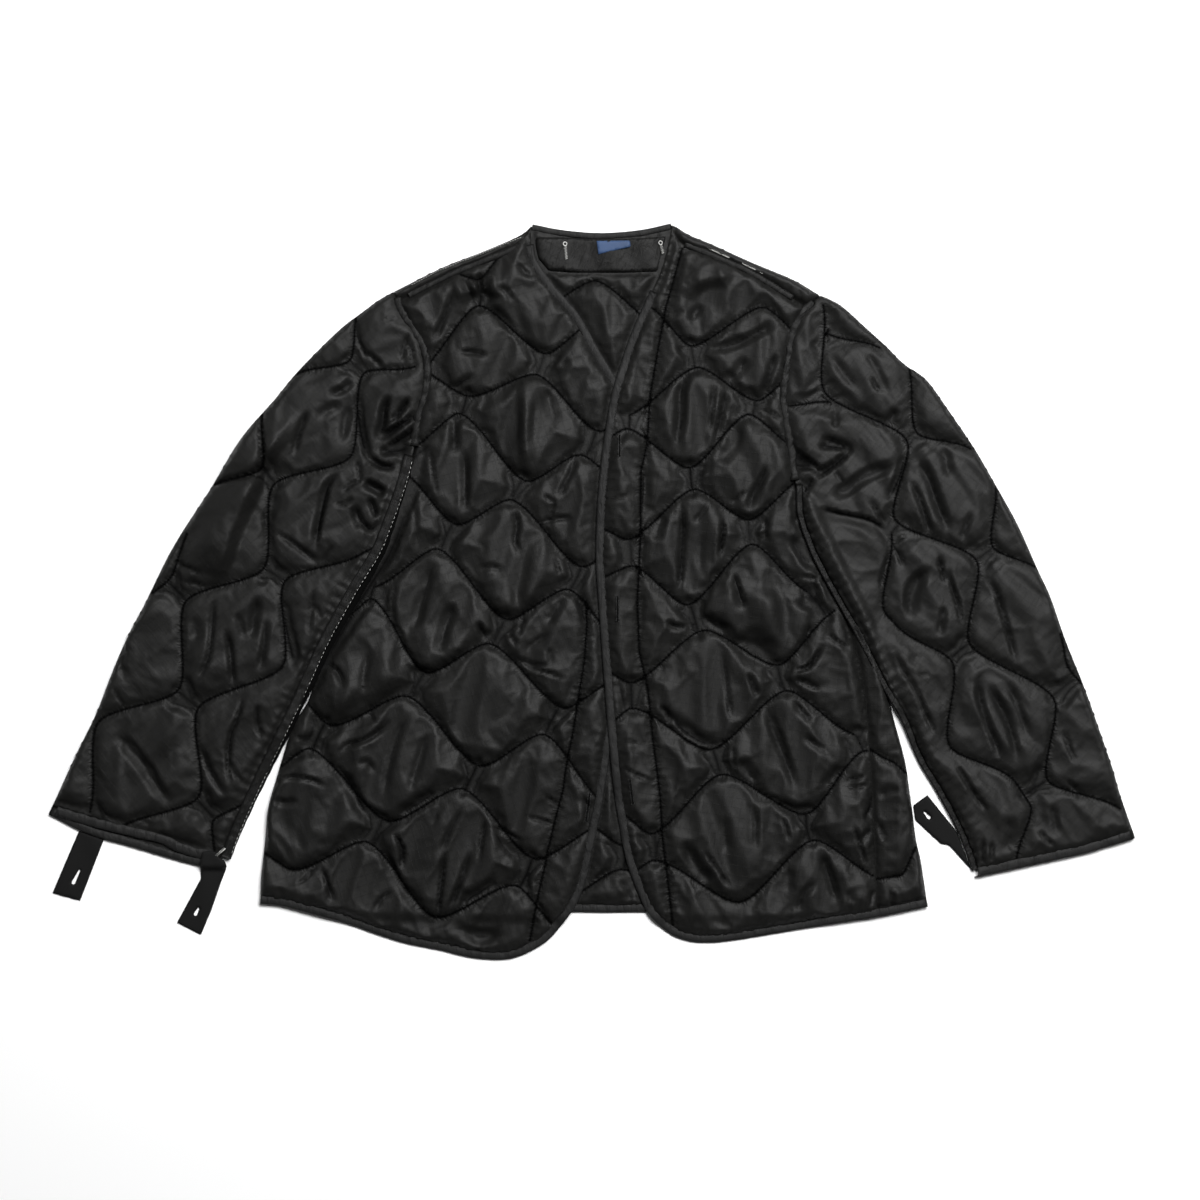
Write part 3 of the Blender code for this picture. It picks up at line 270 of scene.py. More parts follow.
# Folds: reach on the left of a line, reach on its right, rise, then the points of the line.
# A negative rise is a trough; a short reach on one side only is the crisp edge of a pleat.
RIGHT_FRONT_FOLDS = (
    (4, 9, -7.0, (-176, 120), (-194, 84), (-213, 38), (-243, -10), (-273, -62), (-300, -118)),
    (25, 8, 4.0, (-142, 306), (-125, 316), (-105, 319), (-92, 315)),
    (4, 4, -3.0, (-100, 321), (-88, 314), (-83, 303)),
    (4, 4, -2.5, (-114, 304), (-103, 307), (-94, 310)),
    (8, 3, -3.0, (-106, 297), (-94, 284), (-84, 270)),
    (3, 4, -3.0, (-140, 251), (-125, 251), (-108, 247)),
    (4, 5, -3.5, (-155, 208), (-140, 217), (-124, 229)),
    (4, 4, -3.0, (-158, 240), (-163, 228), (-165, 218)),
    (25, 7, 4.5, (-70, 228), (-70, 190), (-69, 150), (-67, 120)),
    (4, 4, -1.5, (-60, 200), (-61, 175), (-62, 150)),
    (8, 8, -3.0, (-48, 215), (-42, 192), (-37, 168)),
    (6, 6, -4.0, (-141, 192), (-144, 168), (-143, 142)),
    (5, 6, -3.5, (-133, 150), (-132, 115), (-132, 80)),
    (3, 3, -2.0, (-170, 150), (-166, 125), (-161, 98)),
    (3, 3, -2.0, (-193, 305), (-187, 313), (-180, 319)),
    (3, 3, -2.5, (-80, 346), (-70, 336), (-62, 329)),
    (5, 5, -3.5, (-143, 320), (-150, 300), (-158, 280), (-168, 260)),
    (4, 6, -2.5, (-40, 222), (-30, 232), (-24, 245)),
    (4, 4, -3.0, (-15, 142), (-24, 120), (-36, 97)),
    (3, 3, -3.5, (-51, 102), (-45, 97), (-38, 93)),
    (3, 3, -3.0, (-39, 93), (-41, 85), (-43, 76)),
    (3, 3, -2.5, (-55, 71), (-44, 75), (-20, 78)),
    (4, 4, -3.0, (-83, 90), (-78, 70), (-80, 52), (-75, 36)),
    (20, 8, 3.0, (-57, 58), (-62, 30), (-67, 3), (-71, -22)),
    (25, 10, 3.0, (-112, -8), (-95, -14), (-76, -10)),
    (4, 4, -2.5, (-119, 22), (-106, 26), (-93, 23)),
    (2.5, 2.5, -3.0, (-38, 35), (-36, 26), (-34, 17)),
    (6, 6, -3.0, (-28, -6), (-37, -20), (-46, -36)),
    (3, 5, -3.5, (-70, -24), (-73, -36), (-77, -48)),
    (6, 4, -4.5, (-17, -4), (-10, -20), (-5, -40)),
    (3, 3, -2.0, (-70, -62), (-58, -52), (-44, -44)),
    (2.5, 2.5, -1.8, (-78, -72), (-55, -82), (-25, -92)),
    (2.5, 2.5, -1.8, (-78, -70), (-60, -76), (-40, -77)),
    (4, 4, -2.0, (-45, -58), (-41, -78)),
    (4, 4, -5.0, (-118, -30), (-116, -42), (-108, -52)),
    (4, 4, -3.0, (-90, -35), (-83, -48), (-78, -58)),
    (4, 4, -1.5, (-186, 95), (-184, 70), (-183, 45)),
    (6, 8, -3.0, (-163, 32), (-172, 8), (-180, -20), (-186, -45)),
    (6, 8, -4.0, (-143, -12), (-152, -36), (-160, -66)),
    (30, 11, 4.0, (-196, -66), (-178, -74), (-150, -66), (-124, -48)),
    (3, 3, -1.5, (-204, 10), (-208, -10), (-208, -35)),
    (8, 8, -4.0, (-220, 25), (-233, 0), (-247, -22), (-262, -45), (-275, -65), (-287, -85)),
    (5, 5, -2.0, (-232, -62), (-238, -85), (-239, -108)),
    (4, 4, -3.0, (-287, -75), (-272, -79), (-264, -88), (-258, -102)),
    (30, 20, 4.5, (-285, -115), (-262, -112), (-235, -98), (-212, -86), (-195, -82)),
    (6, 6, -2.5, (-190, -128), (-203, -152), (-212, -185), (-218, -222)),
    (5, 5, -2.0, (-172, -145), (-180, -175), (-192, -212)),
    (4, 4, -3.5, (-268, -170), (-254, -160), (-238, -156), (-222, -146), (-210, -134)),
    (3, 3, -4.0, (-231, -118), (-232, -130), (-225, -137)),
    (4, 4, -2.5, (-245, -182), (-235, -178), (-228, -190)),
    (10, 3, -3.5, (-205, -236), (-180, -222), (-160, -208)),
    (3, 11, -4.0, (-266, -182), (-250, -208), (-233, -238)),
    (2.5, 2.5, -2.5, (-312, -152), (-300, -155), (-285, -160)),
    (2.5, 2.5, -2.5, (-325, -178), (-310, -175), (-300, -172)),
    (3, 3, -2.5, (-330, -198), (-312, -195), (-290, -199), (-278, -206)),
    (4, 4, -3.0, (-334, -218), (-320, -222), (-308, -218)),
    (4, 5, -3.0, (-135, -225), (-150, -255), (-160, -278)),
    (4, 4, -3.5, (-126, -272), (-138, -305), (-152, -338)),
    (3, 3, -3.5, (-153, -270), (-157, -305), (-162, -345)),
    (3, 3, -4.0, (-207, -252), (-198, -270), (-199, -290)),
    (3, 10, -3.5, (-218, -272), (-203, -298), (-188, -325)),
    (4, 4, -2.0, (-158, -222), (-166, -245)),
    (11, 3, -4.0, (-140, -330), (-118, -316), (-98, -306)),
    (3, 3, -2.5, (-112, -240), (-116, -262), (-118, -285)),
    (2.5, 2.5, -2.5, (-288, -288), (-298, -298), (-310, -308)),
    (3, 3, -3.5, (-283, -290), (-277, -308), (-270, -324)),
    (3, 3, -2.5, (-228, -335), (-220, -322), (-208, -314)),
    (10, 8, -3.5, (-145, -352), (-120, -362), (-90, -360)),
    (2.5, 2.5, -2.5, (-68, -236), (-52, -240), (-35, -246)),
    (2.5, 2.5, -2.5, (-50, -212), (-38, -222), (-28, -232)),
    (2.5, 4, -3.0, (-106, -246), (-90, -252), (-72, -261)),
    (8, 3, -3.0, (-104, -250), (-88, -272), (-70, -283)),
    (3, 3, -3.0, (-57, -322), (-51, -338), (-44, -350)),
)
LEFT_FRONT_FOLDS = (
    (20, 8, 4.0, (98, 306), (108, 320), (125, 327), (148, 326)),
    (5, 5, -3.0, (102, 284), (108, 292), (116, 300)),
    (4, 4, -2.5, (80, 287), (90, 291), (98, 295)),
    (6, 6, -4.0, (120, 252), (145, 258), (165, 266), (195, 283)),
    (7, 7, -3.5, (142, 218), (152, 230), (163, 245)),
    (5, 5, -3.5, (178, 203), (185, 225), (193, 250)),
    (6, 6, -4.0, (104, 234), (95, 212), (93, 185), (88, 145)),
    (4, 4, -2.5, (128, 222), (127, 200), (124, 165)),
    (6, 5, -4.0, (140, 215), (137, 190), (128, 155)),
    (10, 10, -4.0, (152, 180), (148, 155), (135, 132)),
    (2.5, 2.5, -3.0, (160, 205), (172, 202), (185, 200)),      # creases that meet at the armhole
    (2.5, 2.5, -3.0, (178, 205), (187, 206), (196, 204)),
    (2.5, 2.5, -3.0, (176, 193), (187, 187), (200, 180)),
    (2.5, 2.5, -3.0, (165, 178), (171, 186), (178, 196)),
    (3, 3, -3.5, (110, 113), (115, 124), (120, 136)),
    (5, 5, -3.5, (163, 84), (169, 102), (178, 118), (184, 134)),
    (3, 3, -2.5, (146, 92), (155, 100), (163, 106)),
    (4, 4, -4.0, (94, 98), (96, 65), (94, 30), (91, -5)),
    (7, 5, -2.5, (75, 82), (70, 66), (67, 52)),
    (3, 4, -4.0, (139, 78), (137, 58), (134, 34)),
    (5, 5, -1.5, (117, 60), (114, 40), (115, 15)),
    (3, 3, -2.0, (106, 72), (115, 80), (122, 92)),
    (8, 3, -3.0, (118, -5), (128, 10), (136, 26)),
    (3, 3, -3.0, (183, 80), (182, 65), (181, 52)),
    (14, 45, 4.0, (150, 20), (160, 0), (178, -10), (205, -10)),
    (3, 8, -4.0, (149, 18), (155, -2), (161, -18)),
    (20, 11, -4.0, (150, -45), (170, -62), (195, -72)),
    (4, 4, -4.0, (77, -29), (86, -37), (100, -37)),
    (8, 5, -5.0, (116, -24), (128, -34), (142, -44)),
    (5, 3, -4.0, (163, -85), (168, -97), (174, -112)),
    (3, 3, -2.0, (136, -62), (140, -90), (144, -118), (147, -138)),
    (8, 6, -2.5, (78, -75), (70, -95)),
    (8, 6, -5.0, (209, 60), (218, 42), (232, 22)),
    (2.5, 2.5, -3.0, (219, 17), (230, 14), (240, 12)),
    (3, 3, -4.0, (221, -4), (231, -10), (240, -17)),
    (3, 3, -3.5, (230, -32), (225, -48), (218, -62)),
    (3, 3, -4.0, (212, -83), (224, -80), (234, -70), (242, -57)),
    (5, 3, -3.5, (212, -92), (226, -97), (240, -103)),
    (3, 3, -3.0, (246, -44), (258, -54), (272, -60)),
    (3, 3, -3.0, (287, -102), (291, -88)),
    (3, 3, -3.0, (217, 98), (216, 84), (211, 68)),
    (2.5, 2.5, -2.0, (16, 96), (28, 98), (40, 101)),
    (8, 2, -3.5, (54, 135), (54, 105), (52, 72)),
    (5, 4, -3.0, (52, 0), (50, -25), (49, -42)),
    (11, 3, -4.0, (80, -128), (98, -146), (118, -158), (140, -156)),
    (6, 6, -4.5, (182, -120), (192, -147), (203, -175), (213, -208)),
    (4, 6, -4.0, (212, -114), (222, -128), (232, -138)),
    (5, 5, -3.5, (222, -150), (233, -160), (246, -168)),
    (8, 6, -3.0, (258, -180), (250, -195), (240, -208)),
    (8, 6, -4.0, (155, -174), (163, -188), (175, -200)),
    (11, 3, -3.5, (195, -222), (215, -232), (238, -228)),
    (8, 8, -4.5, (95, -261), (105, -280), (116, -296), (130, -308)),
    (2, 2, -2.0, (118, -272), (132, -292), (146, -310)),
    (6, 6, -2.0, (140, -235), (141, -255), (143, -275)),
    (4, 4, -2.5, (170, -222), (172, -245), (171, -270)),
    (3, 3, -3.0, (200, -236), (204, -248), (207, -262)),
    (3, 3, -3.0, (124, -182), (122, -192), (119, -203)),
    (2.5, 2.5, -3.0, (149, -160), (149, -175), (150, -188)),
    (5, 5, -4.0, (241, -276), (250, -300), (258, -326)),
    (6, 6, -3.0, (268, -312), (274, -328)),
    (4, 4, -3.5, (296, -312), (292, -325), (290, -335)),
    (5, 5, -3.0, (235, -302), (222, -318), (215, -338)),
    (6, 6, -2.0, (207, -285), (206, -318)),
    (6, 3, -4.5, (295, -208), (292, -225), (285, -240)),
    (5, 4, -4.0, (293, -248), (286, -256), (280, -264)),
    (2.5, 2.5, -3.0, (275, -244), (282, -268), (291, -292)),
    (2.5, 2.5, -3.0, (266, -200), (276, -196), (288, -194)),
    (2.5, 2.5, -3.0, (266, -204), (280, -205), (290, -202)),
    (2.5, 2.5, -2.5, (33, -185), (48, -192), (62, -198)),
    (2, 2, -2.0, (30, -158), (42, -158), (50, -160)),
    (4, 3, -4.0, (71, -118), (78, -127), (84, -138)),
)
BACK_FOLDS = (
    (6, 4, -3.0, (300, -216), (312, -210), (322, -208)),
    (2.5, 2.5, -2.5, (300, -238), (304, -252), (308, -264)),
    (3, 3, -3.0, (312, -312), (316, -322), (314, -332)),
    (3, 3, -2.5, (0, -305), (10, -298), (25, -291)),
    (5, 5, -3.0, (30, -302), (38, -315), (42, -328)),
    (3, 3, -2.0, (8, -262), (20, -268), (30, -272)),
)
RIGHT_SLEEVE_FOLDS = (
    (45, 9.5, 8.0, (-401, 4), (-386, 35), (-378, 58), (-361, 98), (-344, 138), (-334, 152), (-307, 190)),
    (4, 4, -3.0, (-297, 190), (-306, 168), (-313, 142)),
    (3, 6, -5.0, (-264, 126), (-275, 114), (-281, 92), (-286, 68), (-290, 42)),
    (10, 4, -5.0, (-326, -8), (-322, -35), (-316, -62), (-312, -84)),
    (4, 4, -2.5, (-332, 63), (-315, 52), (-300, 40), (-285, 28)),
    (3, 3, -2.0, (-270, 50), (-278, 38), (-284, 25)),
    (3, 3, -2.0, (-291, 5), (-294, -20), (-297, -50)),
    (3, 3, -2.5, (-291, -12), (-287, -22), (-282, -30)),
    (6, 3, -7.0, (-247, 208), (-245, 180), (-241, 158), (-234, 134)),
    (3, 3, -2.5, (-247, 290), (-246, 268), (-240, 254), (-235, 241)),
    (3, 3, -3.0, (-238, 251), (-228, 244), (-220, 234)),
    (5, 5, -3.5, (-277, 206), (-262, 211), (-250, 222)),
    (6, 6, -2.5, (-290, 182), (-277, 190), (-262, 197)),
    (5, 5, -2.5, (-254, 195), (-258, 175), (-262, 155)),
    (5, 3, -3.0, (-345, 85), (-341, 62), (-336, 42)),
    (6, 6, -2.0, (-330, 105), (-335, 85), (-338, 70)),
    (2.5, 2.5, -3.0, (-192, 270), (-197, 255), (-199, 242)),
    (2.5, 2.5, -3.0, (-193, 262), (-188, 250), (-189, 238)),
    (2.5, 2.5, -2.0, (-218, 283), (-205, 288)),
    (5, 3, -7.0, (-222, 159), (-208, 170), (-193, 180), (-182, 186)),      # knot at the armpit
    (3, 5, -9.0, (-216, 151), (-203, 158), (-190, 167), (-179, 176)),
    (4, 4, 5.0, (-220, 165), (-206, 176), (-190, 187)),
    (3, 4, -6.0, (-209, 178), (-200, 190), (-192, 203)),
    (4, 6, -6.0, (-212, 206), (-217, 190), (-219, 174), (-225, 158)),
    (6, 4, -8.0, (-224, 146), (-206, 147), (-188, 152)),
    (4, 4, -4.0, (-248, 92), (-243, 75), (-231, 65), (-220, 75)),
    (6, 6, -9.0, (-240, 114), (-228, 109), (-216, 101)),
    (4, 4, -6.0, (-234, 98), (-229, 88), (-226, 76)),
    (4, 4, -7.0, (-234, 141), (-222, 132), (-206, 130)),
    (3, 3, -3.0, (-246, 138), (-244, 125), (-242, 112)),
    (3, 3, -3.0, (-262, 104), (-252, 112), (-244, 118)),
    (3, 3, -3.0, (-270, 92), (-260, 91), (-250, 99)),
    (3, 3, -3.0, (-252, 90), (-249, 76), (-244, 64)),
    (3, 4, -2.5, (-440, 31), (-425, 26), (-408, 19)),          # lower sleeve
    (2.5, 2.5, -2.0, (-428, 11), (-415, 8), (-403, 5)),
    (3, 4, -3.0, (-395, -5), (-398, -35), (-400, -65), (-408, -85), (-417, -97)),
    (4, 4, -3.5, (-384, -38), (-379, -60), (-377, -85), (-376, -102)),
    (5, 5, -2.5, (-372, -22), (-367, -38), (-364, -50)),
    (6, 6, -3.0, (-350, -5), (-354, -30), (-357, -52)),
    (5, 4, -3.0, (-341, -28), (-344, -58), (-350, -86)),
    (7, 7, -2.0, (-417, -25), (-413, -55)),
    (3, 3, -3.5, (-366, -108), (-370, -130), (-379, -155), (-381, -185), (-377, -205)),
    (3, 3, -3.0, (-350, -118), (-351, -138), (-345, -155)),
    (3, 3, -3.0, (-379, -178), (-374, -190), (-366, -200)),
    (7, 8, -4.5, (-500, -148), (-482, -166), (-467, -185), (-455, -205), (-440, -225)),
    (5, 4, -3.0, (-410, -160), (-404, -182), (-394, -200), (-383, -216)),
    (3, 3, -2.0, (-478, -240), (-462, -244)),
    (3, 3, -3.0, (-455, -252), (-440, -262), (-425, -275)),
    (3, 3, -2.5, (-398, -232), (-400, -252), (-403, -272)),
    (5, 5, -2.0, (-488, -55), (-492, -75), (-490, -92)),
    (2.5, 2.5, -2.0, (-500, -100), (-496, -112), (-490, -120)),
)
LEFT_SLEEVE_FOLDS = (
    (8, 3, -4.0, (277, 192), (292, 181), (303, 173)),
    (4, 5, -3.5, (306, 171), (313, 180), (320, 192)),
    (2.5, 2.5, -2.5, (293, 225), (298, 214), (306, 209)),
    (5, 5, -1.8, (250, 250), (265, 228), (280, 210)),
    (5, 5, -1.8, (285, 255), (300, 230), (312, 205)),
    (4, 4, -4.0, (254, 192), (256, 180), (253, 170)),
    (4, 4, -4.0, (240, 160), (252, 158), (272, 150)),
    (2.5, 2.5, -3.0, (238, 152), (250, 149)),
    (4, 4, -16.0, (200, 160), (212, 146), (222, 138), (238, 128)),          # pocket at the armpit
    (4, 4, -10.0, (203, 136), (218, 132), (236, 131)),
    (5, 3, -5.0, (234, 118), (252, 130), (274, 149)),
    (5, 3, -5.0, (238, 153), (256, 151), (274, 148)),
    (3, 3, -4.0, (208, 119), (218, 116), (225, 105)),
    (3, 4, -6.0, (233, 120), (226, 108), (221, 98)),
    (3, 3, -3.0, (230, 122), (247, 131), (265, 140)),
    (2.5, 2.5, -2.5, (253, 128), (259, 120), (265, 112)),
    (8, 7, -4.5, (248, 99), (268, 107), (290, 122), (322, 133)),
    (3, 6, -5.0, (328, 145), (325, 125), (316, 105), (308, 95)),
    (2, 12, -4.0, (235, 88), (262, 82), (290, 76), (305, 68), (318, 62)),
    (3, 3, -2.5, (293, 96), (300, 82), (310, 70)),
    (6, 6, -4.0, (339, 143), (352, 122), (361, 98), (369, 76), (377, 56)),
    (4, 4, -3.0, (334, 118), (344, 96), (352, 72), (357, 56)),
    (6, 6, -2.5, (362, 152), (372, 138), (374, 118)),
    (4, 4, -2.5, (398, 84), (392, 68), (388, 52)),
    (3, 3, -4.0, (312, 60), (317, 48), (323, 38), (326, 26)),
    (3, 3, -3.0, (313, 42), (306, 20), (302, 2)),
    (9, 7, -5.0, (356, 24), (343, 14), (335, 0), (334, -15), (338, -30)),
    (3, 3, -4.0, (364, 38), (367, 22), (371, 8)),
    (3, 3, -3.0, (372, 25), (379, 2), (385, -18), (388, -38)),
    (5, 5, -3.5, (369, -15), (367, -32), (364, -46)),
    (4, 3, -3.0, (412, 16), (422, 2), (430, -22), (438, -50), (446, -80)),
    (5, 5, -3.5, (407, -82), (406, -108), (414, -136), (423, -158), (431, -180)),
    (5, 5, -3.5, (417, -98), (430, -122), (440, -148), (447, -180)),
    (4, 4, -2.0, (436, -95), (449, -125), (459, -155)),
    (3, 3, -2.0, (494, -145), (501, -165), (508, -182)),
    (3, 3, -3.0, (498, -197), (508, -208), (516, -218)),
    (3, 3, -3.0, (382, -178), (393, -200), (405, -218), (416, -232)),
    (3, 3, -2.5, (317, -58), (325, -80), (340, -105), (353, -135), (363, -155)),
    (6, 6, -2.5, (334, -78), (342, -64)),
    (3, 3, -2.0, (340, -88), (356, -87)),
    (8, 8, -3.0, (436, -235), (440, -255), (438, -275)),
    (3, 3, -3.0, (411, -258), (410, -275), (412, -290)),
    (3, 3, -3.0, (420, -262), (419, -285)),
    (3, 3, -2.5, (468, -250), (476, -260), (486, -268)),
    (5, 5, -2.5, (482, -222), (487, -242), (488, -258)),
)

# Plain lines of stitching beside the front edges
RIGHT_STITCHED = (((-6, -11), (-5, -37), (-8, -74), (-14, -112), (-20, -149), (-26, -178),
                   (-30, -208), (-38, -238), (-46, -272), (-49, -287), (-57, -322), (-65, -367)),)
LEFT_STITCHED = (((95, 360), (86, 327), (78, 299), (70, 257), (61, 205), (58, 154), (52, 128),
                  (51, 58), (48, -11), (50, -63), (59, -103), (64, -153), (72, -215), (74, -256),
                  (81, -312), (85, -351)),)

CUFF_FOLD_RIGHT = ((-563, -235), (-537, -243), (-516, -249), (-474, -259), (-453, -264),
                   (-437, -272), (-415, -279), (-399, -281))

# Buttonholes: x, y of the upper end, x, y of the lower end
LEFT_BUTTONHOLES = ((29, 164, 29, 141), (27, -5, 27, -31), (40, -197, 43, -223))
RIGHT_BUTTONHOLES = ((-2, -212, -6, -241),)

# Cuff tabs: outline, then the two ends of the slit
TAB_FRONT = (((-539, -251.5), (-513, -260.7), (-538, -325), (-567, -317)), (-538, -292),
             (-546, -308))
TAB_BACK = (((-411, -289), (-409, -274), (-403, -271.5), (-395, -273), (-391, -279), (-385, -282.5),
             (-383, -288), (-390, -306), (-400, -335), (-411, -361), (-436, -348), (-411, -302)),
            (-413, -332), (-417.5, -341))
TAB_LEFT = (((353, -214), (384.1, -252.6), (399.2, -292.6), (376, -267), (367, -265), (340, -240),
             (338, -225)), (349, -231), (356, -239))

TAB_DROP = (-294.0, -287.0)   # where the back tab leaves the floor and reaches the sleeve
TAB_SEAT = 7.2
TAB_SLIT = (0.9, 2.0)         # half widths of its narrow and its wide end
LABEL = ((5, 368), (40, 368.5), (41, 362), (7, 354))

# Gathers at a seam: step along it, least and most
PUCKER_WANDER = (9.0, -1.3, 1.3)
PUCKER_STRENGTH = (13.0, 0.25, 1.2)
PUCKER_SIGHT = 2.5         # reaches from the seam beyond which there are none

EASED = 0.6                # share of its neighbours' height in a point that is evened out

# Folds, and the painted shade in their troughs
FOLD_AMOUNTS = 6           # places along a fold where its height changes
FOLD_START = 0.08
SHORT_FOLD_POWER = 0.7
VALLEY_SHARP = 1.4
VALLEY_BROAD = 10
VALLEY_LEAST = 0.2
VALLEY_DEEP = 4
VALLEY_WIDENS = 3          # depth from which the dark widens

# Creases where two rows come close: least and most of what changes at random
PINCH_BENT = (0.4, 1.0)
PINCH_DRIFT = (-2.5, 2.5)
PINCH_PAST = (0.5, 1.3)
PINCH_LEFT = (3.5, 6.5)
PINCH_RIGHT = (4.0, 8.0)
PINCH_START = (1.2, 2.2)
PINCH_END = (0.2, 1.4)

# Seam allowances: half a width, then how far the line and the height wander
ARMHOLE_HALF, ARMHOLE_UNEVEN = 4.6, (1.1, 0.6)
SHOULDER_HALF, SHOULDER_UNEVEN = 4.0, (0.4, 0.4)
UNDERARM_UNEVEN = (0.6, 0.5)
RIDGE = ((-1, -1.5), (1, -1.5), (1, 0), (0.8, 1.4), (0.35, 2.0), (-0.35, 2.0), (-0.8, 1.4), (-1, 0))
SIDE_GAP_NARROWER = 1.3

STITCH_RISE = 0.7          # of a stitch's thickness
STITCH_DRIFT = (-0.5, 0.5)
OVERLOCK_UNEVEN = (0.8, 1.1)
OVERLOCK_LOOP = ((0.0, 0.0, 0.25), (0.55, 0.25, 0.45), (1.0, 0.5, -0.3))   # across, ahead, up

# Stitches: length, pitch, thickness
ROW_STITCH = (2.6, 3.4, 0.5)
UNDERARM_STITCH = (4.3, 5.0, 0.55)
SHOULDER_STITCH = (1.8, 2.8, 0.9)
BINDING_STITCH = (2.0, 3.2, 0.6)

# Heights of threads above the floor, and of the underarm's above the body
BARTACK_RISE = 6.2
FACING_RISE = 5.6
SHOULDER_SEAM_RISE = 7.3
SHOULDER_THREAD_RISE = 8.5
OVERLOCK_RISE = 7.5
UNDERARM_THREAD_RISE = 6.3

HOLE_PITCH = 0.7           # of the stitches round a buttonhole
HOLE_INNER = 0.45          # their reach from its middle line
HOLE_OUTER = 2.0
OVERLOCK_PITCH = 1.6
OVERLOCK_WIDTH = 1.6

# Lines of open threads
BARTACKS = (((-28, 364.9), (-26.4, 348.1)), ((72.2, 366), (74.9, 354.4)))
RIGHT_SHOULDER_THREAD = ((-74, 371.5), (-110, 356.5), (-158, 337.5), (-190, 321))
LEFT_SHOULDER_THREADS = (((97, 371), (120, 361), (144, 350)), ((158, 344), (190, 328), (226, 307.5)))
FACING_STITCHED = ((-42, 340), (-10, 338), (30, 337.5), (66, 339))
UNDERARM_TACK = ((-394.5, -277, 8.4), (-385.4, -268.5, 8.4), (-393.3, -278, 8.4),
                 (-384.2, -269.5, 8.4))

# Each sheet of cloth: its flat cut in metres, across and along, its area in square metres, and
# what it lies on.  A sleeve is a tube, so its cut is the cloth all round.
SHEETS = {
    "back_panel": ((0.701, 0.724), 0.366, ("floor",)),
    "front_right": ((0.397, 0.773), 0.198, ("back_panel_cloth",)),
    "front_left": ((0.296, 0.756), 0.161, ("back_panel_cloth", "front_right_cloth")),
    "sleeve_right": ((0.450, 0.668), 0.210, ("floor", "front_right_cloth")),
    "sleeve_left": ((0.452, 0.676), 0.215, ("floor", "back_panel_cloth")),
    "neck_facing": ((0.137, 0.038), 0.00454, ("back_panel_cloth",)),
    "neck_label": ((0.035, 0.0142), 0.00036, ("neck_facing_cloth",)),
    "cuff_tab_right_front": ((0.030, 0.0725), 0.00201, ("floor",)),
    "cuff_tab_right_back": ((0.028, 0.080), 0.00180, ("floor",)),
    "cuff_tab_left": ((0.0265, 0.091), 0.00150, ("floor",)),
}

# The sheet that each tape, seam and thread is sewn to.
SEWN_TO = {
    "front_binding_right": "front_right",
    "front_binding_left": "front_left",
    "neck_binding": "back_panel",
    "hem_binding_back": "back_panel",
    "armhole_seam_right": "sleeve_right",
    "armhole_seam_left": "sleeve_left",
    "shoulder_seam_right": "back_panel",
    "shoulder_seam_left": "back_panel",
    "underarm_seam_right": "sleeve_right",
    "underarm_seam_left": "sleeve_left",
}


# ---------------------------------------------------------------- curves and distances
def curve_point(p, t):
    """A point of the smooth curve from the second to the third of four knots."""
    a = 2 * p[1]
    b = p[2] - p[0]
    c = 2 * p[0] - 5 * p[1] + 4 * p[2] - p[3]
    d = -p[0] + 3 * p[1] - 3 * p[2] + p[3]
    return 0.5 * (a + b * t + c * t * t + d * t ** 3)


def even(line, step):
    """Stations at an even step along a line."""
    line = np.asarray(line, float)
    reach = np.concatenate(([0], np.cumsum(np.linalg.norm(np.diff(line, axis=0), axis=1))))
    marks = np.linspace(0, reach[-1], max(2, round(reach[-1] / step)) + 1)
    return np.stack([np.interp(marks, reach, line[:, k]) for k in range(line.shape[1])], 1)


def smooth(points, step=6.0):
    """A smooth curve through the points."""
    knots = [np.array(p, float) for p in points]
    knots = [2 * knots[0] - knots[1]] + knots + [2 * knots[-1] - knots[-2]]
    line = [knots[1]]
    for i in range(len(knots) - 3):
        span = knots[i:i + 4]
        count = max(1, round(np.linalg.norm(span[2] - span[1]) / step))
        line += [curve_point(span, (k + 1) / count) for k in range(count)]
    return np.array(line)


def wave(turns, heading):
    """A quilting row: smooth half waves between its turning points."""
    along = np.array(heading) / np.linalg.norm(heading)
    across = np.array((-along[1], along[0]))
    line = []
    for first, last in zip(turns[:-1], turns[1:]):
        reach = np.array(last, float) - np.array(first, float)
        for t in np.linspace(0, 1, 13)[:-1]:
            ease = (1 - math.cos(math.pi * t)) / 2 * ROUND_ROWS + t * (1 - ROUND_ROWS)
            line.append(np.array(first) + along * (reach @ along) * t
                        + across * (reach @ across) * ease)
    line.append(np.array(turns[-1], float))
    line = np.array(line)
    for _ in range(2):
        line[1:-1] = (line[:-2] + 2 * line[1:-1] + line[2:]) / 4
    return even(line, GRID)


def sideways(line):
    """Unit steps to the left of a line, one at each of its points."""
    line = np.asarray(line, float)
    runs = np.diff(line, axis=0)
    runs /= np.maximum(np.linalg.norm(runs, axis=1), 1e-9)[:, None]
    mean = np.vstack((runs[:1], runs)) + np.vstack((runs, runs[-1:]))
    mean /= np.maximum(np.linalg.norm(mean, axis=1), 1e-9)[:, None]
    return np.stack((-mean[:, 1], mean[:, 0]), axis=1)


def beside(line, distance):
    """The line moved sideways, to its left for a positive distance."""
    return np.asarray(line, float) + sideways(line) * np.reshape(distance, (-1, 1))


def direction(start, end):
    """Unit steps along and to the left of the way from start to end, and its length."""
    start, end = np.array(start, float), np.array(end, float)
    length = np.linalg.norm(end - start)
    run = (end - start) / length
    return run, np.array((-run[1], run[0])), length


def closed(ring):
    """A ring of points, its first one repeated at its end."""
    return np.vstack((ring, ring[:1]))


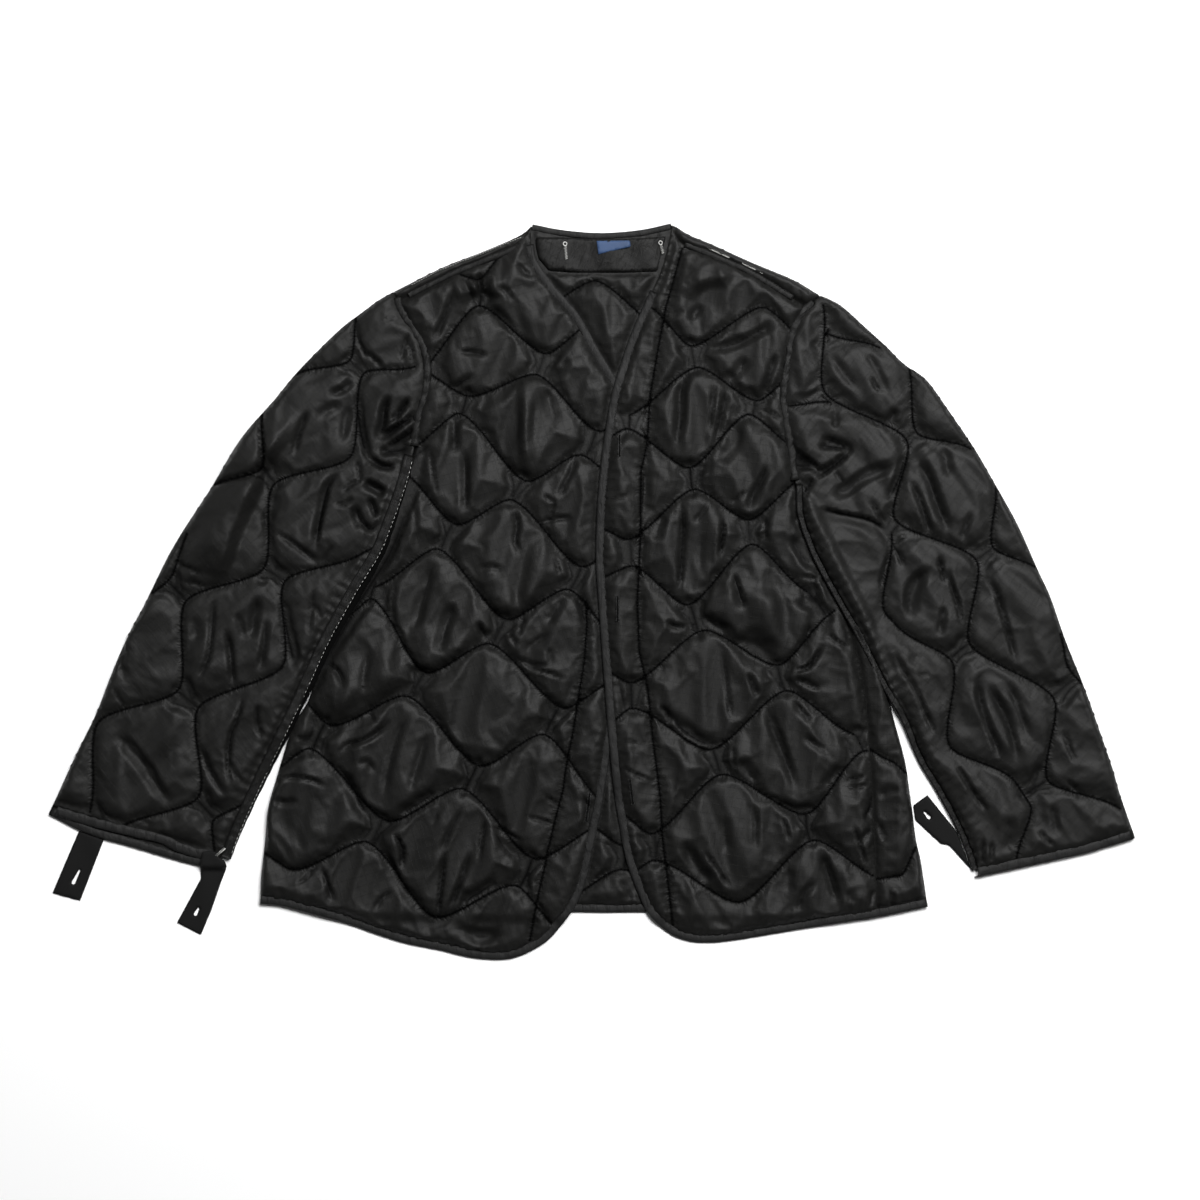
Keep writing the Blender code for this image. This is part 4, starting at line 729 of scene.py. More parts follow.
def outline(*sides):
    """Joins sides end to end into one closed anticlockwise outline."""
    ring = np.vstack(sides)
    ring = ring[np.linalg.norm(ring - np.roll(ring, 1, axis=0), axis=1) > 0.05]
    area = np.sum(ring[:, 0] * np.roll(ring[:, 1], -1) - ring[:, 1] * np.roll(ring[:, 0], -1))
    return ring if area > 0 else ring[::-1]


def tree_of(points):
    """A search tree of flat points."""
    tree = KDTree(len(points))
    for i, (x, y) in enumerate(points):
        tree.insert((x, y, 0), i)
    tree.balance()
    return tree


def ring_of(corners):
    """The outline through a list of corners."""
    return outline(np.array(corners + corners[:1], float))


def nearest(points, *lines):
    """Distance from each point to the nearest of the lines."""
    tree = tree_of(np.vstack([even(line, 1.0) for line in lines]))
    return np.array([tree.find((x, y, 0))[2] for x, y in np.atleast_2d(points)])


def within(points, polygon):
    """Which points lie inside a closed outline."""
    ring = closed(polygon)
    found = np.zeros(len(points), bool)
    for a, b in zip(ring[:-1], ring[1:]):
        spans = (a[1] > points[:, 1]) != (b[1] > points[:, 1])
        if spans.any():
            cross = a[0] + (points[:, 1] - a[1]) * (b[0] - a[0]) / (b[1] - a[1] + 1e-12)
            found ^= spans & (points[:, 0] < cross)
    return found


def signed(points, polygon):
    """Distance outside a closed outline, below zero inside it."""
    points = np.atleast_2d(np.asarray(points, float))
    return nearest(points, closed(polygon)) * np.where(within(points, polygon), -1, 1)


def soft_step(share):
    """A share between 0 and 1, with a soft start and a soft end."""
    share = np.clip(share, 0, 1)
    return share * share * (3 - 2 * share)


def lifted(points, supports):
    """Height at which a cloth lies on the pieces under it, coming down beside each."""
    height = np.zeros(len(points))
    for polygon, top, floor in supports:
        ease = soft_step(1 - (signed(points, polygon) - BESIDE) / RAMP)
        height = np.maximum(height, np.where(ease > 0, floor + (top - floor) * ease, 0))
    return height


def inner_runs(line, polygon, margin):
    """The stretches of a line that lie inside an outline."""
    keep = signed(line, polygon) < -margin
    found, run = [], []
    for point, inside in zip(line, keep):
        if inside:
            run.append(point)
        elif run:
            found.append(np.array(run))
            run = []
    found.append(np.array(run))
    return [run for run in found if len(run) > 2]


def ripple(points, heading, length, seed, spread=0.16, terms=24):
    """Long soft waves across a heading, of about one wavelength and unit size."""
    along = np.array(heading) / np.linalg.norm(heading)
    u, v = points @ along, points @ np.array((-along[1], along[0]))
    rng = np.random.default_rng(seed)
    total = np.zeros(len(points))
    for _ in range(terms):
        size = length * rng.uniform(0.7, 1.7)
        total += np.cos(2 * math.pi / size * (u + rng.normal(0, spread) * v)
                        + rng.uniform(0, 2 * math.pi))
    return total / math.sqrt(terms / 2)


# ---------------------------------------------------------------- meshes
def triangulated(polygon, lines, step, seed, coarse=None):
    """Fine triangles inside an outline, with the lines kept as edges."""
    rng = np.random.default_rng(seed)
    ring = even(closed(polygon), step)[:-1]
    lines = [even(line, step) for line in lines]
    low, high = polygon.min(axis=0), polygon.max(axis=0)
    rows = np.arange(low[1], high[1], step * 0.87)
    grid = []
    for k, y in enumerate(rows):
        columns = np.arange(low[0] + (k % 2) * step / 2, high[0], step)
        grid.append(np.column_stack((columns, np.full(len(columns), y))))
    grid = np.vstack(grid)
    grid += rng.uniform(-0.22, 0.22, grid.shape) * step
    grid = grid[signed(grid, polygon) < -step * 0.55]
    if lines:
        grid = grid[nearest(grid, *lines) > step * 0.55]
    if coarse is not None:
        hidden = coarse(grid)
        grid = grid[~hidden | (np.arange(len(grid)) % 19 == 0)]
    verts, edges = list(ring), [(i, (i + 1) % len(ring)) for i in range(len(ring))]
    for line in lines:
        edges += [(k, k + 1) for k in range(len(verts), len(verts) + len(line) - 1)]
        verts += list(line)
    flat = [Vector(p) for p in verts + list(grid)]
    found, _, faces, _, _, _ = delaunay_2d_cdt(flat, edges, [], 1, 0.02)
    found = np.array([tuple(p) for p in found])
    faces = np.array([tuple(face) for face in faces])
    a, b, c = (found[faces[:, k]] for k in range(3))
    turn = (b[:, 0] - a[:, 0]) * (c[:, 1] - a[:, 1]) - (b[:, 1] - a[:, 1]) * (c[:, 0] - a[:, 0])
    faces[turn < 0] = faces[turn < 0][:, ::-1]
    keep = (np.abs(turn) > 1e-4) & within((a + b + c) / 3, polygon)
    return found, faces[keep]


def make_mesh(name, points, faces, finish, marks=None):
    """A smooth piece that rides on the root; marks are values for its finish, by name."""
    mesh = bpy.data.meshes.new(name)
    mesh.from_pydata((np.asarray(points) * MM).tolist(), [], [list(map(int, f)) for f in faces])
    mesh.validate()
    mesh.shade_smooth()
    mesh.materials.append(finish)
    for label, values in (marks or {}).items():
        mark = mesh.attributes.new(label, "FLOAT", "POINT")
        mark.data.foreach_set("value", values.astype(np.float32))
    piece = bpy.data.objects.new(name, mesh)
    bpy.context.scene.collection.objects.link(piece)
    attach(piece, "root")
    return piece


def stacked(name, layers, faces, filled, finish, marks=None):
    """A solid of slabs between layers of points; filled[face, slab] says which are solid."""
    count, slabs = len(layers[0]), len(layers) - 1
    points = np.vstack(layers)
    edge = np.zeros((len(faces), 1), bool)
    room = np.hstack((edge, filled, edge))
    shells = []
    for k in range(slabs + 1):
        shells.append(faces[room[:, k] & ~room[:, k + 1]] + k * count)
        shells.append(faces[~room[:, k] & room[:, k + 1]][:, ::-1] + k * count)
    a, b = faces.ravel(), np.roll(faces, -1, axis=1).ravel()
    owner = np.repeat(np.arange(len(faces)), 3)
    key, twin = a * count + b, b * count + a
    order = np.argsort(key)
    place = np.clip(np.searchsorted(key[order], twin), 0, len(key) - 1)
    other = np.where(key[order][place] == twin, owner[order][place], len(faces))
    full = np.vstack((filled, np.zeros((1, slabs), bool)))
    for k in range(slabs):
        wall = full[owner, k] & ~full[other, k]
        low, high = k * count, (k + 1) * count
        shells.append(np.column_stack((a[wall] + low, b[wall] + low, b[wall] + high)))
        shells.append(np.column_stack((a[wall] + low, b[wall] + high, a[wall] + high)))
    triangles = np.vstack(shells)
    used, triangles = np.unique(triangles, return_inverse=True)
    marks = {label: np.tile(values, len(layers))[used] for label, values in (marks or {}).items()}
    return make_mesh(name, points[used], triangles.reshape(-1, 3), finish, marks=marks)


def sewn_cloth(flat, faces, height, pinned, heading, gather, pressure):
    """Padded cloth: its stitched lines draw it together, and air pressure fills it."""
    along = np.array(heading) / np.linalg.norm(heading)
    across = np.array((-along[1], along[0]))
    loose = np.outer(flat @ along * gather[0], along) + np.outer(flat @ across * gather[1], across)
    sewn = np.column_stack((flat, height)) * MM
    mesh = bpy.data.meshes.new("cloth")
    mesh.from_pydata((np.column_stack((loose, height)) * MM).tolist(), [], faces.tolist())
    cloth = bpy.data.objects.new("cloth", mesh)
    scene = bpy.context.scene
    scene.collection.objects.link(cloth)
    cloth.shape_key_add(name="Basis")
    drawn = cloth.shape_key_add(name="sewn")
    drawn.data.foreach_set("co", sewn.ravel().astype(np.float32))
    for value, when in ((0.0, 1), (1.0, DRAWN_BY)):
        drawn.value = value
        drawn.keyframe_insert("value", frame=when)
    cloth.vertex_groups.new(name="pin").add(np.nonzero(pinned)[0].tolist(), 1.0, "REPLACE")
    solver = cloth.modifiers.new("cloth", "CLOTH")
    solver.collision_settings.use_collision = False
    solver.point_cache.frame_end = FRAMES
    how = solver.settings
    how.quality = 5
    how.mass = 0.01
    how.vertex_group_mass = "pin"
    how.tension_stiffness = how.compression_stiffness = 15.0
    how.shear_stiffness = 5.0
    how.bending_stiffness = CLOTH_BEND
    how.tension_damping = how.compression_damping = how.shear_damping = 1.0
    how.effector_weights.gravity = 0.0
    how.use_pressure = True
    how.uniform_pressure_force = pressure
    scene.frame_end = FRAMES
    for step in range(1, FRAMES + 1):
        scene.frame_set(step)
    shown = cloth.evaluated_get(bpy.context.evaluated_depsgraph_get())
    moved = np.empty(len(flat) * 3, np.float32)
    shown.data.vertices.foreach_get("co", moved)
    moved = moved.reshape(-1, 3).astype(float) / MM
    action = cloth.data.shape_keys.animation_data.action
    bpy.data.objects.remove(cloth)
    bpy.data.meshes.remove(mesh)
    bpy.data.actions.remove(action)
    scene.frame_set(1)
    drift = moved[:, :2] - flat
    far = np.maximum(np.linalg.norm(drift, axis=1) / MOST_DRIFT, 1)[:, None]
    return flat + drift / far, np.clip(moved[:, 2], 0.0, MOST_RISE)


# ---------------------------------------------------------------- materials
def shader_nodes(name):
    """A new material, its nodes and its shader."""
    made = bpy.data.materials.new(name)
    made.use_nodes = True
    tree = made.node_tree
    return made, tree, tree.nodes["Principled BSDF"]


def joined(tree, kind, inputs, **settings):
    """A node with its settings and inputs; an input is a value or another node's output."""
    node = tree.nodes.new(kind)
    for key, value in settings.items():
        setattr(node, key, value)
    for key, value in inputs.items():
        if isinstance(value, bpy.types.NodeSocket):
            tree.links.new(value, node.inputs[key])
        else:
            node.inputs[key].default_value = value
    return node


def maths(tree, operation, *inputs, **settings):
    """The result of one operation on its inputs."""
    return joined(tree, "ShaderNodeMath", dict(enumerate(inputs)), operation=operation,
                  **settings).outputs[0]


def noise(tree, place, scale, **more):
    """Soft random patches; scale is per metre."""
    return joined(tree, "ShaderNodeTexNoise", {"Vector": place, "Scale": scale, **more}).outputs[0]


def ranged(tree, value, source, result=(0.0, 1.0), **settings):
    """A value carried from one range to another."""
    limits = {"From Min": source[0], "From Max": source[1], "To Min": result[0],
              "To Max": result[1]}
    return joined(tree, "ShaderNodeMapRange", {"Value": value, **limits}, **settings).outputs[0]


def blended(tree, share, first, last):
    """A colour between two others."""
    return joined(tree, "ShaderNodeMix", {0: share, 6: first, 7: last},
                  data_type="RGBA").outputs[2]


def woven_finish(name, low, high, rough, angle=0.0, grid=0.0, weave=0.0004, crinkle=0.0,
                 specular=0.5, painted_shade_and_gathers=False):
    """Cloth: slight shade changes, thread weave, ripstop grid and fine crinkles.

    The quilted cloth's finish also paints shade into its rows and sharp troughs, with a lower specular
    level there, and bumps gathers beside the rows.
    """
    made, tree, shader = shader_nodes(name)
    place = tree.nodes.new("ShaderNodeTexCoord").outputs["Object"]
    turned = joined(tree, "ShaderNodeVectorRotate", {"Vector": place, "Angle": angle},
                    rotation_type="Z_AXIS").outputs[0]
    patches = shade = noise(tree, turned, PATCH_SCALE, Detail=4.0)
    threads = noise(tree, turned, 1.0 / weave, Detail=1.0)
    height = maths(tree, "MULTIPLY", threads, weave * WEAVE_DEPTH)
    if crinkle:
        squeezed = joined(tree, "ShaderNodeVectorMath", {0: turned, 1: CRINKLE_SHAPE},
                          operation="MULTIPLY").outputs[0]
        creases = noise(tree, squeezed, CRINKLE_SCALE, Detail=3.0, Distortion=0.6)
        height = maths(tree, "MULTIPLY_ADD", creases, crinkle, height)
    if grid:
        axes = joined(tree, "ShaderNodeSeparateXYZ", {"Vector": turned}).outputs
        lines = [maths(tree, "LESS_THAN", maths(tree, "PINGPONG", axis, grid), grid * RIB_WIDTH)
                 for axis in (axes[0], axes[1])]
        rib = maths(tree, "MAXIMUM", *lines)
        height = maths(tree, "MULTIPLY_ADD", rib, RIB_RISE, height)
        shade = maths(tree, "MULTIPLY_ADD", rib, RIB_SHADE, patches)
    tone_and_painted_shade = blended(tree, ranged(tree, shade, PATCH_RANGE), (*low, 1), (*high, 1))
    if painted_shade_and_gathers:
        # Painted shade: the rows and sharp troughs are darkened and lose their specular level
        away, reached, trough_shade = (
            joined(tree, "ShaderNodeAttribute", {}, attribute_name=mark).outputs["Fac"]
            for mark in ("seam_away", "seam_along", "trough_shade"))
        row_shade = ranged(tree, away, PAINTED_SHADE_REACH, (1.0, 0.0))
        shade_share = maths(tree, "MAXIMUM", row_shade, trough_shade, use_clamp=True)
        tone_and_painted_shade = blended(tree, shade_share, tone_and_painted_shade, (*PAINTED_SHADE, 1))
        shine = maths(tree, "MULTIPLY_ADD", shade_share, -specular, specular)
        tree.links.new(shine, shader.inputs["Specular IOR Level"])
        wander = noise(tree, turned, GATHER_SCALE)
        phase = maths(tree, "MULTIPLY_ADD", wander, GATHER_WANDER, reached)
        swing = maths(tree, "COSINE", maths(tree, "MULTIPLY", phase, 2 * math.pi / PUCKER))
        fading = ranged(tree, away, GATHER_REACH, (GATHER_DEPTH, 0.0),
                        interpolation_type="SMOOTHSTEP")
        height = maths(tree, "MULTIPLY_ADD", swing, fading, height)
    gloss = ranged(tree, patches, PATCH_RANGE, (rough - 0.03, rough + 0.04))
    bump = joined(tree, "ShaderNodeBump", {"Height": height, "Distance": 1.0,
                                           "Strength": 1.0}).outputs[0]
    for source, socket in ((tone_and_painted_shade, "Base Color"), (gloss, "Roughness"), (bump, "Normal")):
        tree.links.new(source, shader.inputs[socket])
    shader.inputs["Specular IOR Level"].default_value = specular
    return made


def satin(name, angle):
    """The quilted cloth, its threads at an angle in degrees, with painted shade in its rows and troughs.
    """
    return woven_finish(name, CLOTH_LOW, CLOTH_HIGH, CLOTH_ROUGH, math.radians(angle), grid=0.005,
                        crinkle=0.0003, specular=CLOTH_SPECULAR, painted_shade_and_gathers=True)


BODY_RIGHT_CLOTH = satin("cloth.front_right", -16)
BODY_LEFT_CLOTH = satin("cloth.front_left", 9)
BACK_CLOTH = satin("cloth.back", 0)
SLEEVE_RIGHT_CLOTH = satin("cloth.sleeve_right", -38)
SLEEVE_LEFT_CLOTH = satin("cloth.sleeve_left", 36)
# A darker copy of the quilted cloth: its darkness is painted shade for the crumpled seam allowances and
# the neck facing
SEAM_CLOTH = woven_finish("cloth.seams", (0.0024, 0.0024, 0.0022), (0.0052, 0.0051, 0.0048), 0.58,
                          0.5, grid=0.005, crinkle=0.0016, specular=0.18)
TAPE = woven_finish("tape.binding", (0.0066, 0.0066, 0.0066), (0.0118, 0.0118, 0.0116), 0.62,
                    weave=0.0009, crinkle=0.0015, specular=0.2)
TAB_TAPE = woven_finish("tape.tabs", (0.0028, 0.0028, 0.0028), (0.005, 0.005, 0.005), 0.85,
                        weave=0.0007, specular=0.2)
LABEL_CLOTH = woven_finish("label.blue", (0.022, 0.046, 0.105), (0.034, 0.066, 0.148), 0.6,
                           weave=0.0005, specular=0.3)
DARK_THREAD = woven_finish("thread.dark", (0.002, 0.002, 0.002), (0.005, 0.005, 0.005), 0.7,
                           weave=0.0003, specular=0.15)
HOLE_THREAD = woven_finish("thread.buttonholes", (0.012, 0.012, 0.012), (0.022, 0.022, 0.021), 0.5,
                           weave=0.0003)
# Near-black: painted shade in the buttonhole slits and in the gap beside the right underarm seam
PAINTED_SHADE_BLACK = woven_finish("painted_shade.slits_and_gap", (0.001, 0.001, 0.001), (0.002, 0.002, 0.002), 0.9,
                         weave=0.0003, specular=0.05)
PALE_THREAD = woven_finish("thread.pale", (0.42, 0.42, 0.40), (0.62, 0.62, 0.60), 0.6,
                           weave=0.0003)


# ---------------------------------------------------------------- cloth panels
def along(points, line):
    """Distance from each point to a line, and how far along the line that is."""
    tree = tree_of(even(line, 1.0))
    found = [tree.find((x, y, 0)) for x, y in points]
    return np.array([f[2] for f in found]), np.array([f[1] for f in found], float)


def reach_of(points, lines):
    """How far along its nearest line each point lies."""
    stations = [even(line, 1.0) for line in lines]
    marks = np.concatenate([np.arange(len(line)) + LINE_OFFSET * k
                            for k, line in enumerate(stations)])
    tree = tree_of(np.vstack(stations))
    return np.array([marks[tree.find((x, y, 0))[1]] for x, y in points])


class Panel:
    """A quilted piece with the height of its upper face."""

    def __init__(self, piece, flat, top, rows, stitched):
        self.piece, self.top, self.rows, self.stitched = piece, top, rows, stitched
        self.tree = tree_of(flat)

    def height(self, line):
        """Height of the cloth at each point of a line."""
        found = [self.tree.find_n((x, y, 0), 3) for x, y in line]
        return np.array([np.average(self.top[[f[1] for f in near]],
                                    weights=[1 / (f[2] + 0.3) for f in near]) for near in found])


def uneven(reach, step, least, most, rng):
    """A value that changes at random along a line."""
    marks = np.arange(0, reach.max() + 20, step)
    return np.interp(reach, marks, rng.uniform(least, most, len(marks)))


def puckered(points, lines, reach, pitch, size, seed):
    """Short ridges that run out from a gathered seam."""
    rng = np.random.default_rng(seed)
    rise = np.zeros(len(points))
    for line in lines:
        away, reached = along(points, line)
        close = away < reach * PUCKER_SIGHT
        wander = uneven(reached, *PUCKER_WANDER, rng)
        strength = uneven(reached, *PUCKER_STRENGTH, rng)
        rise += close * size * strength * np.exp(-(away / reach) ** 2) * np.cos(
            2 * math.pi * reached / pitch + wander)
    return rise


def eased(faces, height, pinned, rounds):
    """Heights evened out over their neighbours, save along the stitches."""
    a, b = faces.ravel(), np.roll(faces, -1, axis=1).ravel()
    for _ in range(rounds):
        total = np.bincount(a, height[b], len(height)) + np.bincount(b, height[a], len(height))
        count = np.bincount(a, minlength=len(height)) + np.bincount(b, minlength=len(height))
        height = np.where(pinned, height,
                          (1 - EASED) * height + EASED * total / np.maximum(count, 1))
    return height


def creased(points, folds, seed):
    """Named folds: how far they lift each point, and how much painted shade it gets from a sharp trough
    near it.

    A short reach on one side makes the crisp edge of a pleat; a trough is below zero.
    """
    rng = np.random.default_rng(seed)
    rise, trough_shade = np.zeros(len(points)), np.zeros(len(points))
    for left, right, height, *line in folds:
        left, right = left * FOLD_REACH, right * FOLD_REACH
        line = even(smooth(line), 1.0)
        amounts = rng.uniform(*FOLD_UNEVEN, FOLD_AMOUNTS)
        widest = max(left, right)
        low, high = line.min(axis=0) - widest, line.max(axis=0) + widest
        close = np.nonzero(((points > low) & (points < high)).all(axis=1))[0]
        if not len(close):
            continue
        away, reached = along(points[close], line)
        foot = reached.astype(int)
        height *= min(1, len(line) / SHORT_FOLD) ** SHORT_FOLD_POWER
        on_left = np.einsum("ij,ij->i", points[close] - line[foot], sideways(line)[foot]) > 0
        share = np.clip(away / np.where(on_left, left, right), 0, 1)
        crisp = np.where(on_left, left, right) < CRISP_FOLD
        shape = np.where(crisp, 1 - share, (1 - share) ** 2 * (1 + 2 * share))
        ends = np.minimum(reached, len(line) - 1 - reached) / (FOLD_ENDS * len(line))
        fade = soft_step(ends + FOLD_START)
        amount = np.interp(reached / len(line), np.linspace(0, 1, FOLD_AMOUNTS), amounts)
        rise[close] += height * fade * amount * shape
        # Painted shade along a sharp trough, wider for a deeper one
        narrow = VALLEY_SHARP - min(left, right) / VALLEY_BROAD
        sharp = np.clip(-height / VALLEY_DEEP, 0, 1) * np.clip(narrow, VALLEY_LEAST, 1)
        shadow = VALLEY_WIDTH + max(-height - VALLEY_WIDENS, 0)
        trough_shade[close] = np.maximum(trough_shade[close], sharp * fade * np.clip(1 - away / shadow, 0, 1))
    return rise, trough_shade


def pinches(rows, seed):
    """Short creases across each place where two rows of quilting come close."""
    rng = np.random.default_rng(seed)
    rows = [even(row, GRID) for row in rows]
    found, middles = [], []
    for k, row in enumerate(rows):
        others = rows[:k] + rows[k + 1:]
        gaps, spots = nearest(row, *others), np.vstack(others)
        for i, gap in enumerate(gaps):
            if gap > PINCH_MOST or gap > gaps[max(0, i - 6):i + 7].min():
                continue
            start, end = row[i], spots[np.argmin(np.linalg.norm(spots - row[i], axis=1))]
            middle, run = (start + end) / 2, (end - start) / gap
            if any(np.linalg.norm(middle - other) < PINCH_APART for other in middles):
                continue
            middles.append(middle)
            side = np.array((-run[1], run[0]))
            for offset, rise, past in PINCH_CREASES:
                bend = side * (offset * rng.uniform(*PINCH_BENT) + rng.uniform(*PINCH_DRIFT))
                past *= rng.uniform(*PINCH_PAST)
                found.append((rng.uniform(*PINCH_LEFT), rng.uniform(*PINCH_RIGHT), rise,
                              start - run * past + side * offset * rng.uniform(*PINCH_START),
                              middle + bend,
                              end + run * past + side * offset * rng.uniform(*PINCH_END)))
    return tuple(found)


def quilted(name, polygon, rows, heading, seed, finish, level, bound=(), sewn=(), rolled=(),
            stitched=(), pressed=(), folds=(), puckers=(), gather=BODY_GATHER, pressure=1.0,
            waves=None, build=None, coarse=None, holes=(), soft=None):
    """One quilted panel: padding between its rows, level giving what it lies on."""
    rows = [run for row in rows for run in inner_runs(row, polygon, 1.0)]
    stitched = [run for line in stitched for run in inner_runs(even(line, GRID), polygon, 1.0)]
    lines = rows + stitched
    folds = tuple(folds) + pinches(rows, seed + 7)
    valleys = [even(smooth(fold[3:]), GRID) for fold in folds]
    kept = [run for line in valleys for run in inner_runs(line, polygon, GRID)]
    flat, faces = triangulated(polygon, lines + list(holes) + kept, GRID, seed, coarse)
    to_row = nearest(flat, *lines)
    edge = np.full(len(flat), 1e3)
    if len(sewn):
        edge = np.minimum(edge, nearest(flat, *sewn) - SEAM_MARGIN)
    if len(bound):
        edge = np.minimum(edge, nearest(flat, *bound) - BINDING_WIDTH + 1.0)
    for cover in pressed:
        edge = np.minimum(edge, signed(flat, cover) - SEAM_MARGIN)
    roll = np.ones(len(flat))
    if len(rolled):
        near = np.clip(nearest(flat, *rolled) / ROLL, 0, 1)
        roll = np.sqrt(1 - (1 - near) ** 2)
    share = 1 - np.clip(to_row / PUFF_REACH, 0, 1)
    side = 1 - np.clip(edge / EDGE_PUFF_REACH, 0, 1)
    full = PUFF * np.sqrt(1 - share ** 2) * np.sqrt(1 - side ** 2)
    if soft is not None:
        full *= soft(flat)
    to_each = np.sort([nearest(flat, row) for row in rows], axis=0)
    apart = np.clip((to_each[0] + to_each[1] - PINCH_NEAR) / (PINCH_FAR - PINCH_NEAR), 0, 1)
    squeezed = PINCH_LOW + (1 - PINCH_LOW) * apart * apart * (3 - 2 * apart)
    full *= squeezed
    free = np.clip(np.minimum(to_row, edge) / FREE_REACH, 0, 1)
    start = START_WAVE * ripple(flat, waves or heading, CLOTH_WAVE, seed) * free
    height = np.maximum(full * START_FULL + start, 0) * roll
    pinned = (to_row < 0.3) | (edge < 0.3) | (roll < 0.35)
    height[pinned] = 0.0
    place, height = sewn_cloth(flat, faces, height, pinned, heading, gather, pressure)
    height = eased(faces, height, pinned, 1) * squeezed
    height += PINCH_CREASE * (1 - squeezed) * ripple(flat, heading, PINCH_WAVE, seed + 3) * free
    room = ROW_GIVE + (1 - ROW_GIVE) * np.clip(to_row / FOLD_ROOM, 0, 1)
    room *= np.clip((edge + 3) / FOLD_ROOM, 0, 1)
    rise, trough_shade = creased(flat, folds, seed)
    height = height + FOLD_DEPTH * rise * room
    for line_set, reach, pitch, size in puckers:
        height += puckered(flat, line_set, reach, pitch, size, seed) * np.clip(to_row / 2, 0, 1)
    height += LONG_WAVE_RISE * ripple(flat, heading, LONG_WAVE, seed + 5)
    # The marks set the painted shade along the rows and in sharp troughs, and the gathers
    marks = {"seam_away": to_row, "seam_along": reach_of(flat, lines), "trough_shade": trough_shade}
    height = np.maximum(height, LOWEST_DENT)
    piece, top = build(name, flat, place, faces, height, roll, finish, level, marks)
    return Panel(piece, flat, top, rows, stitched)


def lying(name, flat, place, faces, height, roll, finish, level, marks):
    """A single quilted layer that lies on what is under it."""
    base = level(flat)
    top = base + EDGE_CLOTH + (TOP_CLOTH - EDGE_CLOTH) * roll + height
    layers = [np.column_stack((flat, base)), np.column_stack((place, top))]
    return stacked(name, layers, faces, np.ones((len(faces), 1), bool), finish, marks), top


def tube_of(slit, lip):
    """A sleeve: two walls joined at its fold and underarm, open at its ends."""
    def build(name, flat, place, faces, height, roll, finish, level, marks):
        base = level(flat)
        centres = flat[faces].mean(axis=1)
        hollow = within(centres, slit)
        lipped = within(centres, lip) if lip is not None else np.zeros(len(faces), bool)
        filled = np.column_stack((np.ones(len(faces), bool), ~hollow & ~lipped, ~lipped))
        under = base + SLEEVE_TURN * (1 - np.clip(roll * 1.6, 0, 1))
        top = base + SLEEVE_EDGE + (BODY_TOP - SLEEVE_EDGE) * roll + height
        layers = [np.column_stack((flat, under)), np.column_stack((flat, base + SLEEVE_LOWER)),
                  np.column_stack((flat, np.minimum(base + SLEEVE_UPPER, top - 0.1))),
                  np.column_stack((place, top))]
        return stacked(name, layers, faces, filled, finish, marks), top
    return build


# ---------------------------------------------------------------- outlines
def below(line, height):
    """The part of a line from where it comes down to a height."""
    first = int(np.argmax(line[:, 1] < height))
    a, b = line[first - 1], line[first]
    start = a + (b - a) * (height - a[1]) / (b[1] - a[1])
    return np.vstack((start, line[first:]))


def lengthened(line, amount):
    """The line with both its ends carried on."""
    first, last = line[0] - line[1], line[-1] - line[-2]
    return np.vstack((line[0] + first / np.linalg.norm(first) * amount, line,
                      line[-1] + last / np.linalg.norm(last) * amount))


def trimmed(line, start, end):
    """The line without a length at its start and one at its end."""
    reach = np.concatenate(([0], np.cumsum(np.linalg.norm(np.diff(line, axis=0), axis=1))))
    marks = np.linspace(start, reach[-1] - end, max(3, int(reach[-1] / 3)))
    return np.stack([np.interp(marks, reach, line[:, k]) for k in (0, 1)], 1)


R_ARM, L_ARM = smooth(RIGHT_ARMHOLE), smooth(LEFT_ARMHOLE)
R_SIDE, L_SIDE, L_SEAM = smooth(RIGHT_SIDE), smooth(LEFT_SIDE), smooth(LEFT_SIDE_SEAM)
R_ARM_FRONT, L_ARM_FRONT = below(R_ARM, RIGHT_SHOULDER_END), below(L_ARM, LEFT_SHOULDER_END)
R_TOP = smooth(RIGHT_FRONT_SHOULDER + (tuple(R_ARM_FRONT[0]),))
L_TOP = smooth(LEFT_FRONT_SHOULDER + (tuple(L_ARM_FRONT[0]),))
R_EDGE, L_EDGE = smooth(RIGHT_EDGE), smooth(LEFT_EDGE)
NECK, HEM_LINE = smooth(BACK_NECK), smooth(BACK_HEM)
R_BOUND, L_BOUND = smooth(RIGHT_EDGE[1:]), smooth(LEFT_EDGE + (LEFT_HEM_END,))[12:]
HEM_SHOWN = trimmed(HEM_LINE, 48, 64)      # what the fronts leave bare of the back's hem
R_SHOULDER_SEAM, L_SHOULDER_SEAM = smooth(RIGHT_SHOULDER_SEAM), smooth(LEFT_SHOULDER_SEAM)
INSET = BINDING_FOLD + GAP

# The body's pieces, whole and cut back to the fold of their bindings
BACK, BACK_CUT = (
    outline(smooth(RIGHT_SHOULDER)[:0:-1], neck, smooth(LEFT_SHOULDER)[1:], L_ARM, L_SIDE[:-1],
            hem[::-1], R_SIDE[-2::-1], R_ARM[::-1])
    for neck, hem in ((NECK, HEM_LINE), (beside(NECK, -INSET), beside(HEM_LINE, INSET))))
RIGHT, RIGHT_CUT = (outline(R_TOP[1:], R_ARM_FRONT, R_SIDE[:-1], edge[::-1])
                    for edge in (R_EDGE, beside(R_EDGE, -INSET)))
LEFT, LEFT_CUT = (outline(L_TOP[1:], L_ARM_FRONT, L_SEAM[:-1], edge[::-1])
                  for edge in (L_EDGE, beside(L_EDGE, INSET)))
R_FOLD, L_FOLD = smooth(RIGHT_SLEEVE_FOLD), smooth(LEFT_SLEEVE_FOLD)
R_UNDER, L_UNDER = smooth(RIGHT_UNDERARM), smooth(LEFT_UNDERARM)
